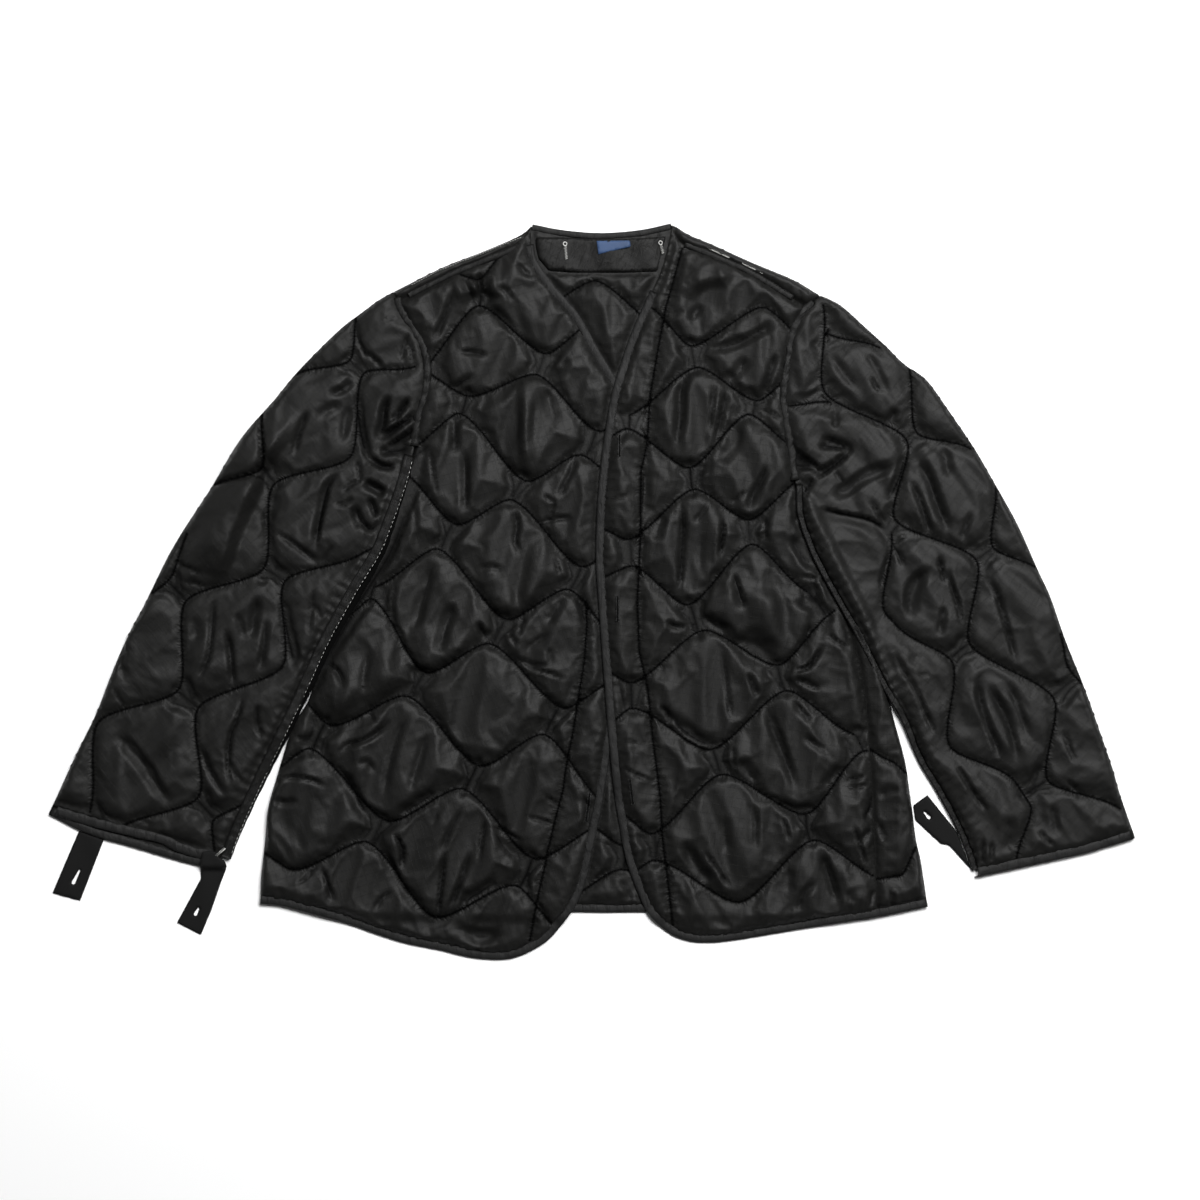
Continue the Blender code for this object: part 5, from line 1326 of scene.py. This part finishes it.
L_UNDER_CUT = np.vstack((LEFT_UNDERARM[0], beside(L_UNDER, LEFT_SEAM_WIDTH)))
R_CUFF, L_CUFF = smooth(RIGHT_CUFF), smooth(LEFT_CUFF)
R_CUFF_SHOWN, L_CUFF_SHOWN = trimmed(R_CUFF, 3, 8), trimmed(L_CUFF, 3, 5)
R_LIP = smooth(RIGHT_CUFF_LIP)
R_SEAM = beside(R_UNDER, np.linspace(*RIGHT_SEAM_SHIFT, len(R_UNDER)))
UNDER_SEAM_R = outline(R_SEAM, beside(R_UNDER, 2.0)[::-1])
SLEEVE_R = outline(R_FOLD, R_CUFF, R_UNDER[::-1], R_ARM[::-1])
SLEEVE_L = outline(L_FOLD, L_CUFF, L_UNDER_CUT[::-1], L_ARM[::-1])
WITH_SEAM_R = outline(R_FOLD, R_CUFF, beside(R_UNDER, RIGHT_SEAM_WIDTH)[::-1], R_ARM[::-1])
WITH_SEAM_L = outline(L_FOLD, L_CUFF, L_UNDER[::-1], L_ARM[::-1])
R_SLIVER = outline(R_SIDE, (R_SIDE + (80, 0))[::-1])
L_SLIVER = outline(L_SIDE, (L_SIDE - (80, 0))[::-1])
FACING = ring_of(NECK_FACING)
RETURNS = ((R_TOP, outline(R_TOP, smooth(RIGHT_SHOULDER)[::-1])),
           (L_TOP, outline(L_TOP, smooth(LEFT_SHOULDER)[::-1])),
           (L_SEAM, outline(L_SEAM, np.array((LEFT_HEM_END, LEFT_HEM_END)), L_SIDE[::-1])))

FRONT_TOP = UNDER_CLOTH + GAP + BINDING_RISE + GAP
ON_BACK = (BACK, UNDER_CLOTH + GAP, 0.0)
ON_RIGHT = (RIGHT, FRONT_TOP, UNDER_CLOTH + GAP)


# Height at which a piece lies, at each point
def on_floor(points):
    return np.zeros(len(points))


def on_back(points):
    return lifted(points, [ON_BACK])


def on_right_front(points):
    return lifted(points, [ON_BACK, ON_RIGHT])


def on_right_sliver(points):
    return lifted(points, [(R_SLIVER, BODY_TOP + GAP, 0.0)])


def on_left_sliver(points):
    return lifted(points, [(L_SLIVER, BODY_TOP + GAP, 0.0)])


def rows_of(table, heading):
    """The quilting rows of a table."""
    return [wave(turns, heading) for turns in table]


# ---------------------------------------------------------------- the quilted pieces
def build_back():
    def hidden(points):
        cover = np.minimum(signed(points, RIGHT), signed(points, LEFT))
        return (cover < -12) | (signed(points, FACING) < -8)

    def soft(points):
        return np.where(within(points, RETURNS[2][1]), 0.75, 0.9)

    def build(name, flat, place, faces, height, roll, finish, level, marks):
        top = np.full(len(flat), UNDER_CLOTH)
        for line, region in RETURNS:
            rise = np.clip((nearest(flat, line) - 0.5) / 2.5, 0, 1) * within(flat, region)
            top = np.maximum(top, UNDER_CLOTH + (BODY_TOP - UNDER_CLOTH) * rise)
        thin = np.clip(nearest(flat, NECK, HEM_LINE) / 10, 0, 1)
        top = np.where(thin < 0.95, np.minimum(top, TOP_CLOTH), top)
        top = BACK_EDGE + (top - BACK_EDGE) * roll + height
        covered = np.minimum(signed(flat, RIGHT), signed(flat, LEFT)) < 0
        top = np.where(covered, np.minimum(top, UNDER_CLOTH), top)
        layers = [np.column_stack((flat, level(flat))), np.column_stack((place, top))]
        return stacked(name, layers, faces, np.ones((len(faces), 1), bool), finish, marks), top

    return quilted("back_panel_cloth", BACK_CUT, rows_of(BACK_ROWS, BACK_HEADING), BACK_HEADING, 11,
                   BACK_CLOTH, on_floor, bound=[NECK, HEM_LINE], sewn=[L_SEAM, R_TOP, L_TOP, L_ARM, R_ARM],
                   rolled=[L_SIDE, smooth(RIGHT_SHOULDER), smooth(LEFT_SHOULDER)],
                   pressed=[RIGHT, LEFT, FACING], folds=BACK_FOLDS,
                   build=build, coarse=hidden, soft=soft)


def build_fronts():
    right = quilted("front_right_cloth", RIGHT_CUT, rows_of(RIGHT_FRONT_ROWS, BODY_RIGHT_HEADING),
                    BODY_RIGHT_HEADING, 21, BODY_RIGHT_CLOTH, on_back, bound=[R_EDGE],
                    sewn=[R_TOP, R_ARM_FRONT], rolled=[R_SIDE], pressed=[LEFT, WITH_SEAM_R],
                    stitched=RIGHT_STITCHED, folds=RIGHT_FRONT_FOLDS,
                    puckers=[([np.array(RIGHT_STITCHED[0])], *STITCHED_PUCKERS),
                             ([R_EDGE], *EDGE_PUCKERS)], build=lying)
    left = quilted("front_left_cloth", LEFT_CUT, rows_of(LEFT_FRONT_ROWS, BODY_LEFT_HEADING),
                   BODY_LEFT_HEADING, 31, BODY_LEFT_CLOTH, on_right_front, bound=[L_EDGE],
                   sewn=[L_TOP, L_ARM_FRONT, L_SEAM], pressed=[WITH_SEAM_L],
                   stitched=LEFT_STITCHED, folds=LEFT_FRONT_FOLDS,
                   puckers=[([np.array(LEFT_STITCHED[0])], *STITCHED_PUCKERS),
                            ([L_EDGE], *EDGE_PUCKERS)], build=lying)
    return right, left


def across(heading):
    return (-heading[1], heading[0])


def slit_between(fold, under, armpit, inward):
    """The two sides of the room inside a sleeve."""
    under = np.vstack((np.array(armpit) + inward, lengthened(under, 12.0)[1:]))
    return lengthened(fold, 12.0), under


def lower(points):
    """The share of the body's puff that the sleeves have."""
    return np.full(len(points), SLEEVE_PUFF)


def build_sleeves():
    """Both tubes.  They stand up less than the body's cells."""
    common = {"gather": SLEEVE_GATHER, "pressure": SLEEVE_PRESSURE, "soft": lower}
    walls = slit_between(beside(R_FOLD, SLIT_MARGIN), beside(R_UNDER, -SLIT_MARGIN),
                         RIGHT_UNDERARM[0], (14, 8))
    lip = outline(R_LIP, (R_LIP + (0, -60))[::-1])
    holes = [run for wall in walls + (R_LIP,) for run in inner_runs(even(wall, GRID), SLEEVE_R, 1)]
    right = quilted("sleeve_right_cloth", SLEEVE_R, rows_of(RIGHT_SLEEVE_ROWS, SLEEVE_RIGHT_HEADING),
                    SLEEVE_RIGHT_HEADING, 41, SLEEVE_RIGHT_CLOTH, on_right_sliver,
                    bound=[R_LIP], sewn=[R_ARM, R_UNDER], rolled=[R_FOLD],
                    pressed=[lip, UNDER_SEAM_R], waves=across(SLEEVE_RIGHT_HEADING),
                    folds=RIGHT_SLEEVE_FOLDS, puckers=[([R_SEAM], *UNDERARM_PUCKERS)],
                    build=tube_of(outline(walls[0], walls[1][::-1]), lip), holes=holes, **common)
    walls = slit_between(beside(L_FOLD, -SLIT_MARGIN), beside(L_UNDER, LEFT_SEAM_WIDTH + SLIT_MARGIN),
                         LEFT_UNDERARM[0], (-14, 8))
    holes = [run for wall in walls for run in inner_runs(even(wall, GRID), SLEEVE_L, 1)]
    left = quilted("sleeve_left_cloth", SLEEVE_L, rows_of(LEFT_SLEEVE_ROWS, SLEEVE_LEFT_HEADING),
                   SLEEVE_LEFT_HEADING, 51, SLEEVE_LEFT_CLOTH, on_left_sliver, bound=[L_CUFF],
                   sewn=[L_ARM, L_UNDER_CUT], rolled=[L_FOLD], folds=LEFT_SLEEVE_FOLDS,
                   waves=across(SLEEVE_LEFT_HEADING),
                   puckers=[([L_UNDER_CUT], *UNDERARM_PUCKERS)],
                   build=tube_of(outline(walls[0], walls[1][::-1]), None), holes=holes, **common)
    return right, left


# ---------------------------------------------------------------- trim
def tube_faces(start, rings, count):
    """Faces between rings of points, then its two ends."""
    faces = []
    for k in range(start, start + (rings - 1) * count, count):
        for j in range(count):
            a, b = k + j, k + (j + 1) % count
            faces.append((a, b, b + count, a + count))
    last = start + rings * count
    return faces + [tuple(range(start, start + count)), tuple(range(last - 1, last - count - 1, -1))]


def swept(name, line, section, level, finish, seed, wobble=0.25, lift=0.3):
    """A band along a line; section lists its (sideways, height) corners in order."""
    rng = np.random.default_rng(seed)
    line = even(line, BAND_STEP)
    reach = np.arange(len(line)) * BAND_STEP
    shift = uneven(reach, 2 * BAND_STEP, -wobble, wobble, rng)
    puff = uneven(reach, 2 * BAND_STEP, -lift, lift, rng)
    widest = max(abs(s) for s, _ in section)
    tallest = max(h for _, h in section)
    low = np.max([level(beside(line, s)) for s in (section[0][0], widest * np.sign(sum(
        s for s, _ in section) or 1), 0.0)], axis=0)
    rings = []
    for s, h in section:
        rail = beside(line, s + shift * abs(s) / widest)
        rings.append(np.column_stack((rail, low + h + puff * h / tallest)))
    points = np.stack(rings, 1).reshape(-1, 3)
    faces = tube_faces(0, len(line), len(section))
    if section[1][0] * (section[2][1] - section[0][1]) > 0:
        faces = [face[::-1] for face in faces]
    return make_mesh(name, points, faces, finish)


def tape_section(side, width):
    """The section of a tape that is folded over an edge."""
    rise, fold = BINDING_RISE, BINDING_FOLD
    return [(side * s, h) for s, h in (
        (0.3, 0.0), (fold, 0.0), (fold, rise - 0.9), (width, rise - 0.9), (width, rise - 0.3),
        (width - 0.7, rise), (width * 0.6, rise + 0.35), (width * 0.3, rise + 0.3),
        (0.7, rise - 0.1), (0.1, rise - 0.9), (0.0, rise * 0.4))]


def stitches(name, runs, size, finish, seed):
    """Sewn stitches: runs is a list of (line, heights), size their length, pitch and thickness."""
    rng = np.random.default_rng(seed)
    length, pitch, thick = size
    points, faces = [], []
    for line, heights in runs:
        line = even(np.column_stack((line, heights)), pitch)
        for a, b in zip(line[:-1], line[1:]):
            run = (b - a) / max(np.linalg.norm(b - a), 1e-6)
            side = np.array((-run[1], run[0], 0)) * thick / 2
            up = np.array((0, 0, thick * STITCH_RISE))
            a2 = a + side * rng.uniform(*STITCH_DRIFT)
            b2 = a2 + run * length
            mid = (a2 + b2) / 2
            n = len(points)
            points += [a2, mid - side, mid + up, mid + side, mid - up, b2]
            faces += [(n, n + 1, n + 2), (n, n + 2, n + 3), (n, n + 3, n + 4), (n, n + 4, n + 1),
                      (n + 5, n + 2, n + 1), (n + 5, n + 3, n + 2), (n + 5, n + 4, n + 3),
                      (n + 5, n + 1, n + 4)]
    return make_mesh(name, np.array(points), faces, finish)


def thread(name, paths, radius, finish):
    """Fine tubes along paths of points."""
    points, faces = [], []
    for path in paths:
        path = np.asarray(path, float)
        runs = np.diff(path, axis=0)
        runs = np.vstack((runs[:1], runs)) + np.vstack((runs, runs[-1:]))
        runs /= np.maximum(np.linalg.norm(runs, axis=1), 1e-9)[:, None]
        side = np.cross(runs, (0, 0, 1.0))
        side /= np.maximum(np.linalg.norm(side, axis=1), 1e-9)[:, None]
        up = np.cross(side, runs)
        start = len(points)
        for p, s, u in zip(path, side, up):
            points += [p + s * radius, p + u * radius, p - s * radius, p - u * radius]
        *walls, first, last = tube_faces(start, len(path), 4)
        faces += [*walls, first[::-1], last[::-1]]
    return make_mesh(name, np.array(points), faces, finish)


def overlock(line, width, height, seed):
    """The looping thread over a cut edge, three points to each stitch."""
    rng = np.random.default_rng(seed)
    line = even(line, OVERLOCK_PITCH)
    ahead = np.vstack((line[1:], line[-1:])) - line
    path = []
    for p, s, step in zip(line, sideways(line), ahead):
        out = width * rng.uniform(*OVERLOCK_UNEVEN)
        for across, ahead_by, rise in OVERLOCK_LOOP:
            path.append((*(p + s * out * across + step * ahead_by), height + rise))
    return path


def ridge(half):
    """The section of a seam allowance that is pressed to a low ridge."""
    return [(half * across, BODY_TOP + GAP + rise) for across, rise in RIDGE]


def seam_section(width, foot):
    """The section of an underarm seam allowance, with a furrow along its middle."""
    return [(GAP, foot), (width - GAP, foot), (width, foot + 1.6), (width - 0.6, foot + 3.2),
            (width * 0.75, foot + 4.4), (width * 0.5, foot + 3.2), (width * 0.25, foot + 4.7),
            (GAP, foot + 4.0)]


def build_trim():
    """Bindings and seam allowances, by node."""
    binding = BINDING_WIDTH
    right_seam = seam_section(RIGHT_SEAM_WIDTH, RIGHT_SEAM_FOOT)
    left_seam = seam_section(LEFT_SEAM_WIDTH, 0.0)
    bands = (
        ("front_binding_right", "tape", R_BOUND, tape_section(-1, binding), on_back, 61),
        ("front_binding_left", "tape", L_BOUND, tape_section(1, binding), on_right_front, 61),
        ("neck_binding", "tape", NECK, tape_section(-1, NECK_BINDING_WIDTH), on_floor, 62),
        ("hem_binding_back", "tape", HEM_SHOWN, tape_section(1, binding), on_floor, 63),
        ("armhole_seam_right", "cloth", trimmed(R_ARM, 7, 7), ridge(ARMHOLE_HALF),
         on_right_sliver, 64, *ARMHOLE_UNEVEN),
        ("armhole_seam_left", "cloth", trimmed(L_ARM, 9, 5), ridge(ARMHOLE_HALF),
         on_left_sliver, 65, *ARMHOLE_UNEVEN),
        ("shoulder_seam_right", "cloth", R_SHOULDER_SEAM, ridge(SHOULDER_HALF), on_floor, 66,
         *SHOULDER_UNEVEN),
        ("shoulder_seam_left", "cloth", L_SHOULDER_SEAM, ridge(SHOULDER_HALF), on_floor, 67,
         *SHOULDER_UNEVEN),
        ("underarm_seam_right", "cloth", trimmed(R_SEAM, 4, 7), right_seam, on_right_sliver, 68,
         *UNDERARM_UNEVEN),
        ("underarm_seam_left", "cloth", trimmed(L_UNDER, 0, 7), left_seam, on_left_sliver, 68,
         *UNDERARM_UNEVEN),
    )
    finishes = {"tape": TAPE, "cloth": SEAM_CLOTH}
    return {node: swept(f"{node}_{kind}", line, section, level, finishes[kind], *rest)
            for node, kind, line, section, level, *rest in bands}


def build_painted_shadow_gap():
    """A near-black strip: painted shadow in the gap where the body goes down beside the right sleeve's
    seam.
    """
    width = RIGHT_SEAM_WIDTH - SIDE_GAP_NARROWER
    section = [(0.0, 0.0), (width, 0.0), (width, SIDE_GAP_TOP), (0.0, SIDE_GAP_TOP)]
    line = trimmed(R_UNDER, 20, 7)
    line = beside(line, np.minimum(np.linspace(*SIDE_GAP_SHIFT, len(line)), SIDE_GAP_OUT))
    return swept("underarm_gap_painted_shadow_right", line, section, on_right_sliver, PAINTED_SHADE_BLACK, 69, 0.4, 0.2)


def plate(name, polygon, low, thick, finish, step, seed, hole=None, curl=0.3):
    """A small flat piece, very slightly wavy, with rounded borders."""
    lines = [] if hole is None else [closed(hole)]
    flat, faces = triangulated(polygon, lines, step, seed)
    low = low(flat) if callable(low) else np.full(len(flat), low)
    if hole is not None:
        faces = faces[~within(flat[faces].mean(axis=1), hole)]
    edge = np.clip(nearest(flat, closed(polygon), *lines) / 1.2, 0, 1)
    wave_up = curl * (1 + ripple(flat, (1, 0.3), 40, seed)) * 0.5
    top = low + thick * (0.55 + 0.45 * edge) + np.maximum(wave_up, 0) * edge
    layers = [np.column_stack((flat, low)), np.column_stack((flat, top))]
    return stacked(name, layers, faces, np.ones((len(faces), 1), bool), finish)


def teardrop(start, end, narrow, wide):
    """The outline of a slit with a narrow round end at its start and a wide one at its end."""
    run, side, _ = direction(start, end)
    turns = np.linspace(0, math.pi, 9)
    foot = [end - run * wide + side * wide * math.cos(t) + run * wide * math.sin(t) for t in turns]
    head = [start + run * narrow - side * narrow * math.cos(t) - run * narrow * math.sin(t)
            for t in turns]
    return outline(np.array(foot), np.array(head))


def over_cuff(points):
    """The back tab is sewn on top of the sleeve, and hangs over its edge onto the floor."""
    return TAB_SEAT * soft_step((points[:, 1] - TAB_DROP[0]) / (TAB_DROP[1] - TAB_DROP[0]))


def build_small():
    """The facing, the label and the cuff tabs, by node."""
    pieces = {
        "neck_facing": plate("neck_facing_cloth", FACING, UNDER_CLOTH + GAP, 1.2, SEAM_CLOTH,
                             3.0, 71, curl=1.2),
        "neck_label": plate("neck_label_cloth", ring_of(LABEL), UNDER_CLOTH + 2.9, 0.6, LABEL_CLOTH,
                            2.0, 72, curl=0.4)}
    for node, (shape, top, foot), low in (("cuff_tab_right_front", TAB_FRONT, 0.0),
                                          ("cuff_tab_right_back", TAB_BACK, over_cuff),
                                          ("cuff_tab_left", TAB_LEFT, 0.0)):
        hole = teardrop(top, foot, *TAB_SLIT)
        pieces[node] = plate(node + "_tape", ring_of(shape), low, 1.3, TAB_TAPE, 2.2, 73, hole, 1.0)
    return pieces


# ---------------------------------------------------------------- threads and small trim
def on_cloth(panel, line, lift=0.15):
    """A line laid on a panel, with its heights."""
    return np.column_stack((line, panel.height(line) + lift))


def row_stitches(panel, name):
    """The dark stitches of a panel's rows."""
    runs = [on_cloth(panel, even(row, GRID)) for row in panel.rows + panel.stitched]
    return stitches(name, [(run[:, :2], run[:, 2]) for run in runs], ROW_STITCH, DARK_THREAD, 81)


def hole_rim(panel, ends, seed):
    """A worked buttonhole: close stitches round a slit, down one side and up the other."""
    start, end = ends[:2], ends[2:]
    run, side, length = direction(start, end)
    rng = np.random.default_rng(seed)
    path = []
    for marks, way in ((np.arange(0, length, HOLE_PITCH), side),
                       (np.arange(length, 0, -HOLE_PITCH), -side)):
        for reach in marks:
            for edge in (HOLE_INNER, HOLE_OUTER * rng.uniform(0.85, 1.1)):
                path.append(np.array(start, float) + run * reach + way * edge)
    path = np.array(path)
    middle = np.median(panel.height(path))
    heights = np.clip(panel.height(path), middle - 1.0, middle + 1.5)
    return np.column_stack((path, heights + 0.35 + 0.2 * (np.arange(len(path)) % 2)))


def keyhole(head, foot, base):
    """A keyhole bartack in pale thread: a ring, a stem and a row of bars over the stem."""
    run, side, length = direction(head, foot)
    head = np.array(head, float)
    ring = [head + 1.9 * np.array((math.cos(t), math.sin(t))) for t in np.linspace(0, 6.4, 15)]
    bars = [(*(head + run * reach + side * (1.25 if k % 2 else -1.25)), base + 0.5)
            for k, reach in enumerate(np.arange(1.8, length, 0.8))]
    return [np.column_stack((ring, np.full(15, base + 0.5))), np.array(bars)]


def build_threads(panels):
    """The threads that show, each with the sheet or seam that it is sewn to."""
    pieces = [(row_stitches(panel, node + "_stitches"), node) for node, panel in panels.items()]
    for node, holes in (("front_left", LEFT_BUTTONHOLES), ("front_right", RIGHT_BUTTONHOLES)):
        panel = panels[node]
        rims = [hole_rim(panel, ends, 5) for ends in holes]
        pieces.append((thread(node + "_buttonholes", rims, 0.38, HOLE_THREAD), node))
        # Near-black tubes along the slits: painted shade of the openings
        slits = [on_cloth(panel, even((ends[:2], ends[2:]), 1.5), 0.5) for ends in holes]
        pieces.append((thread(node + "_slits", slits, 0.55, PAINTED_SHADE_BLACK), node))
    tacks = [path for ends in BARTACKS for path in keyhole(*ends, BARTACK_RISE)]
    pieces.append((thread("neck_facing_bartacks", tacks, 0.5, PALE_THREAD), "neck_facing"))
    line = beside(trimmed(R_SEAM, 10, 12), RIGHT_SEAM_WIDTH - 0.9)
    heights = on_right_sliver(line) + UNDERARM_THREAD_RISE
    pieces.append((stitches("underarm_thread_right", [(line, heights)], UNDERARM_STITCH,
                            PALE_THREAD, 91), "underarm_seam_right"))
    line = smooth(RIGHT_SHOULDER_THREAD)
    heights = np.full(len(line), SHOULDER_THREAD_RISE)
    pieces.append((stitches("shoulder_thread_right", [(line, heights)], SHOULDER_STITCH,
                            PALE_THREAD, 92), "shoulder_seam_right"))
    chains = []
    for points in LEFT_SHOULDER_THREADS:
        line = even(smooth(points), OVERLOCK_PITCH)
        chains.append(overlock(line, OVERLOCK_WIDTH, OVERLOCK_RISE, 93))
        chains.append(np.column_stack((line, np.full(len(line), OVERLOCK_RISE + 0.2))))
    pieces.append((thread("shoulder_thread_left", chains, 0.3, PALE_THREAD),
                   "shoulder_seam_left"))
    pieces.append((thread("underarm_tack_right", [UNDERARM_TACK], 0.6, PALE_THREAD),
                   "underarm_seam_right"))
    return pieces


def cuff_section(base, rise, side, width):
    """The section of a cuff's binding between two heights."""
    return [(side * s, h) for s, h in (
        (0.2, base), (2.0, base), (width - 0.6, rise - 0.9), (width, rise - 0.7),
        (width - 0.5, rise), (width * 0.6, rise + 0.4), (width * 0.3, rise + 0.35),
        (0.4, rise - 0.2), (-0.3, rise - 1.0), (-0.3, (base + rise) / 2))]


def build_cuffs():
    """Bindings of the cuffs, each with its sheet."""
    bands = (
        ("cuff_binding_right", "sleeve_right", smooth(CUFF_FOLD_RIGHT), (3.4, 6.4, 1, 9.5), 101, 0.8),
        ("cuff_binding_right_back", "sleeve_right", R_CUFF_SHOWN, (0.4, 3.6, 1, 8.5), 102, 0.5),
        ("cuff_binding_left", "sleeve_left", L_CUFF_SHOWN, (0.6, 6.6, -1, 9.5), 103, 0.5),
    )
    return [(swept(name, line, cuff_section(*sizes), on_floor, TAPE, seed, uneven, uneven), node)
            for name, node, line, sizes, seed, uneven in bands]


def build_tape_stitches():
    """Stitch lines that hold the bindings, shoulders and facing."""
    runs = []
    for line, inward, level, rise in (
            (R_BOUND, 1.1 - BINDING_WIDTH, on_back, BINDING_RISE),
            (L_BOUND, BINDING_WIDTH - 1.1, on_right_front, BINDING_RISE),
            (NECK, 1.1 - NECK_BINDING_WIDTH, on_floor, BINDING_RISE),
            (HEM_SHOWN, BINDING_WIDTH - 1.1, on_floor, BINDING_RISE),
            (R_CUFF_SHOWN, BINDING_WIDTH - 1.1, on_floor, 3.5),
            (L_CUFF_SHOWN, 1.1 - BINDING_WIDTH, on_floor, 6.5)):
        rail = beside(line, inward)
        runs.append((rail, level(rail) + rise + 0.05))
    for offset in (-2.4, 2.4):
        for line in (R_SHOULDER_SEAM, L_SHOULDER_SEAM):
            rail = beside(line, offset)
            runs.append((rail, np.full(len(rail), SHOULDER_SEAM_RISE)))
    for line, width, level, foot in ((R_SEAM, RIGHT_SEAM_WIDTH, on_right_sliver, RIGHT_SEAM_FOOT),
                                     (L_UNDER, LEFT_SEAM_WIDTH, on_left_sliver, 0.0)):
        for share, rise in ((0.25, 4.9), (0.5, 3.4), (0.75, 4.6)):
            rail = beside(trimmed(line, 4, 7), width * share)
            runs.append((rail, level(rail) + foot + rise))
    facing = smooth(FACING_STITCHED)
    runs.append((facing, np.full(len(facing), FACING_RISE)))
    return [(stitches("binding_stitches", runs, BINDING_STITCH, DARK_THREAD, 110), "front_left")]


# ---------------------------------------------------------------- stage
def build_stage():
    """The floor, the soft lights and the camera straight above."""
    floor = bpy.data.meshes.new("floor")
    corners = ((-1, -1), (1, -1), (1, 1), (-1, 1))
    floor.from_pydata([(x * FLOOR_SIZE, y * FLOOR_SIZE, FLOOR_LEVEL) for x, y in corners], [],
                      [(0, 1, 2, 3)])
    white, _, shader = shader_nodes("stage.floor")
    shader.inputs["Base Color"].default_value = (FLOOR_GREY, FLOOR_GREY, FLOOR_GREY, 1)
    shader.inputs["Roughness"].default_value = 0.9
    shader.inputs["Specular IOR Level"].default_value = 0.1
    floor.materials.append(white)
    placed = bpy.data.objects.new("floor", floor)
    bpy.context.scene.collection.objects.link(placed)
    scene = bpy.context.scene
    world = bpy.data.worlds.new("studio")
    scene.world = world
    world.use_nodes = True
    backdrop = world.node_tree.nodes["Background"]
    backdrop.inputs[0].default_value = (1, 1, 1, 1)
    backdrop.inputs[1].default_value = WORLD_LIGHT
    for place, size, power in LIGHTS:
        lamp = bpy.data.lights.new("softbox", "AREA")
        lamp.shape = "RECTANGLE"
        lamp.size, lamp.size_y = size
        lamp.energy = power
        held = bpy.data.objects.new("softbox", lamp)
        scene.collection.objects.link(held)
        held.location = place
        held.rotation_euler = (-Vector(place)).to_track_quat("-Z", "Y").to_euler()
    lens = bpy.data.cameras.new("camera")
    lens.lens = LENS
    lens.sensor_width = SENSOR
    camera = bpy.data.objects.new("camera", lens)
    scene.collection.objects.link(camera)
    camera.location = (*CAMERA_OVER, VIEW_WIDTH / SENSOR * LENS + CAMERA_RISE)
    scene.camera = camera
    scene.view_settings.view_transform = "Standard"


def build():
    """Everything, with each sheet and what is sewn to it gathered by node."""
    build_stage()
    right, left = build_fronts()
    sleeve_right, sleeve_left = build_sleeves()
    panels = {"back_panel": build_back(), "front_right": right, "front_left": left,
              "sleeve_right": sleeve_right, "sleeve_left": sleeve_left}
    cloth = {node: panel.piece for node, panel in panels.items()}
    sewn = {node: [] for node in SHEETS}
    for node, piece in [*cloth.items(), *build_trim().items(), *build_small().items()]:
        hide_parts(node)
        if node in SHEETS:
            cloth[node] = piece
        else:
            sewn[SEWN_TO[node]].append(piece)
    for piece, node in [(build_painted_shadow_gap(), "underarm_seam_right"), *build_cuffs(),
                        *build_threads(panels), *build_tape_stitches()]:
        sewn[SEWN_TO.get(node, node)].append(piece)


build()
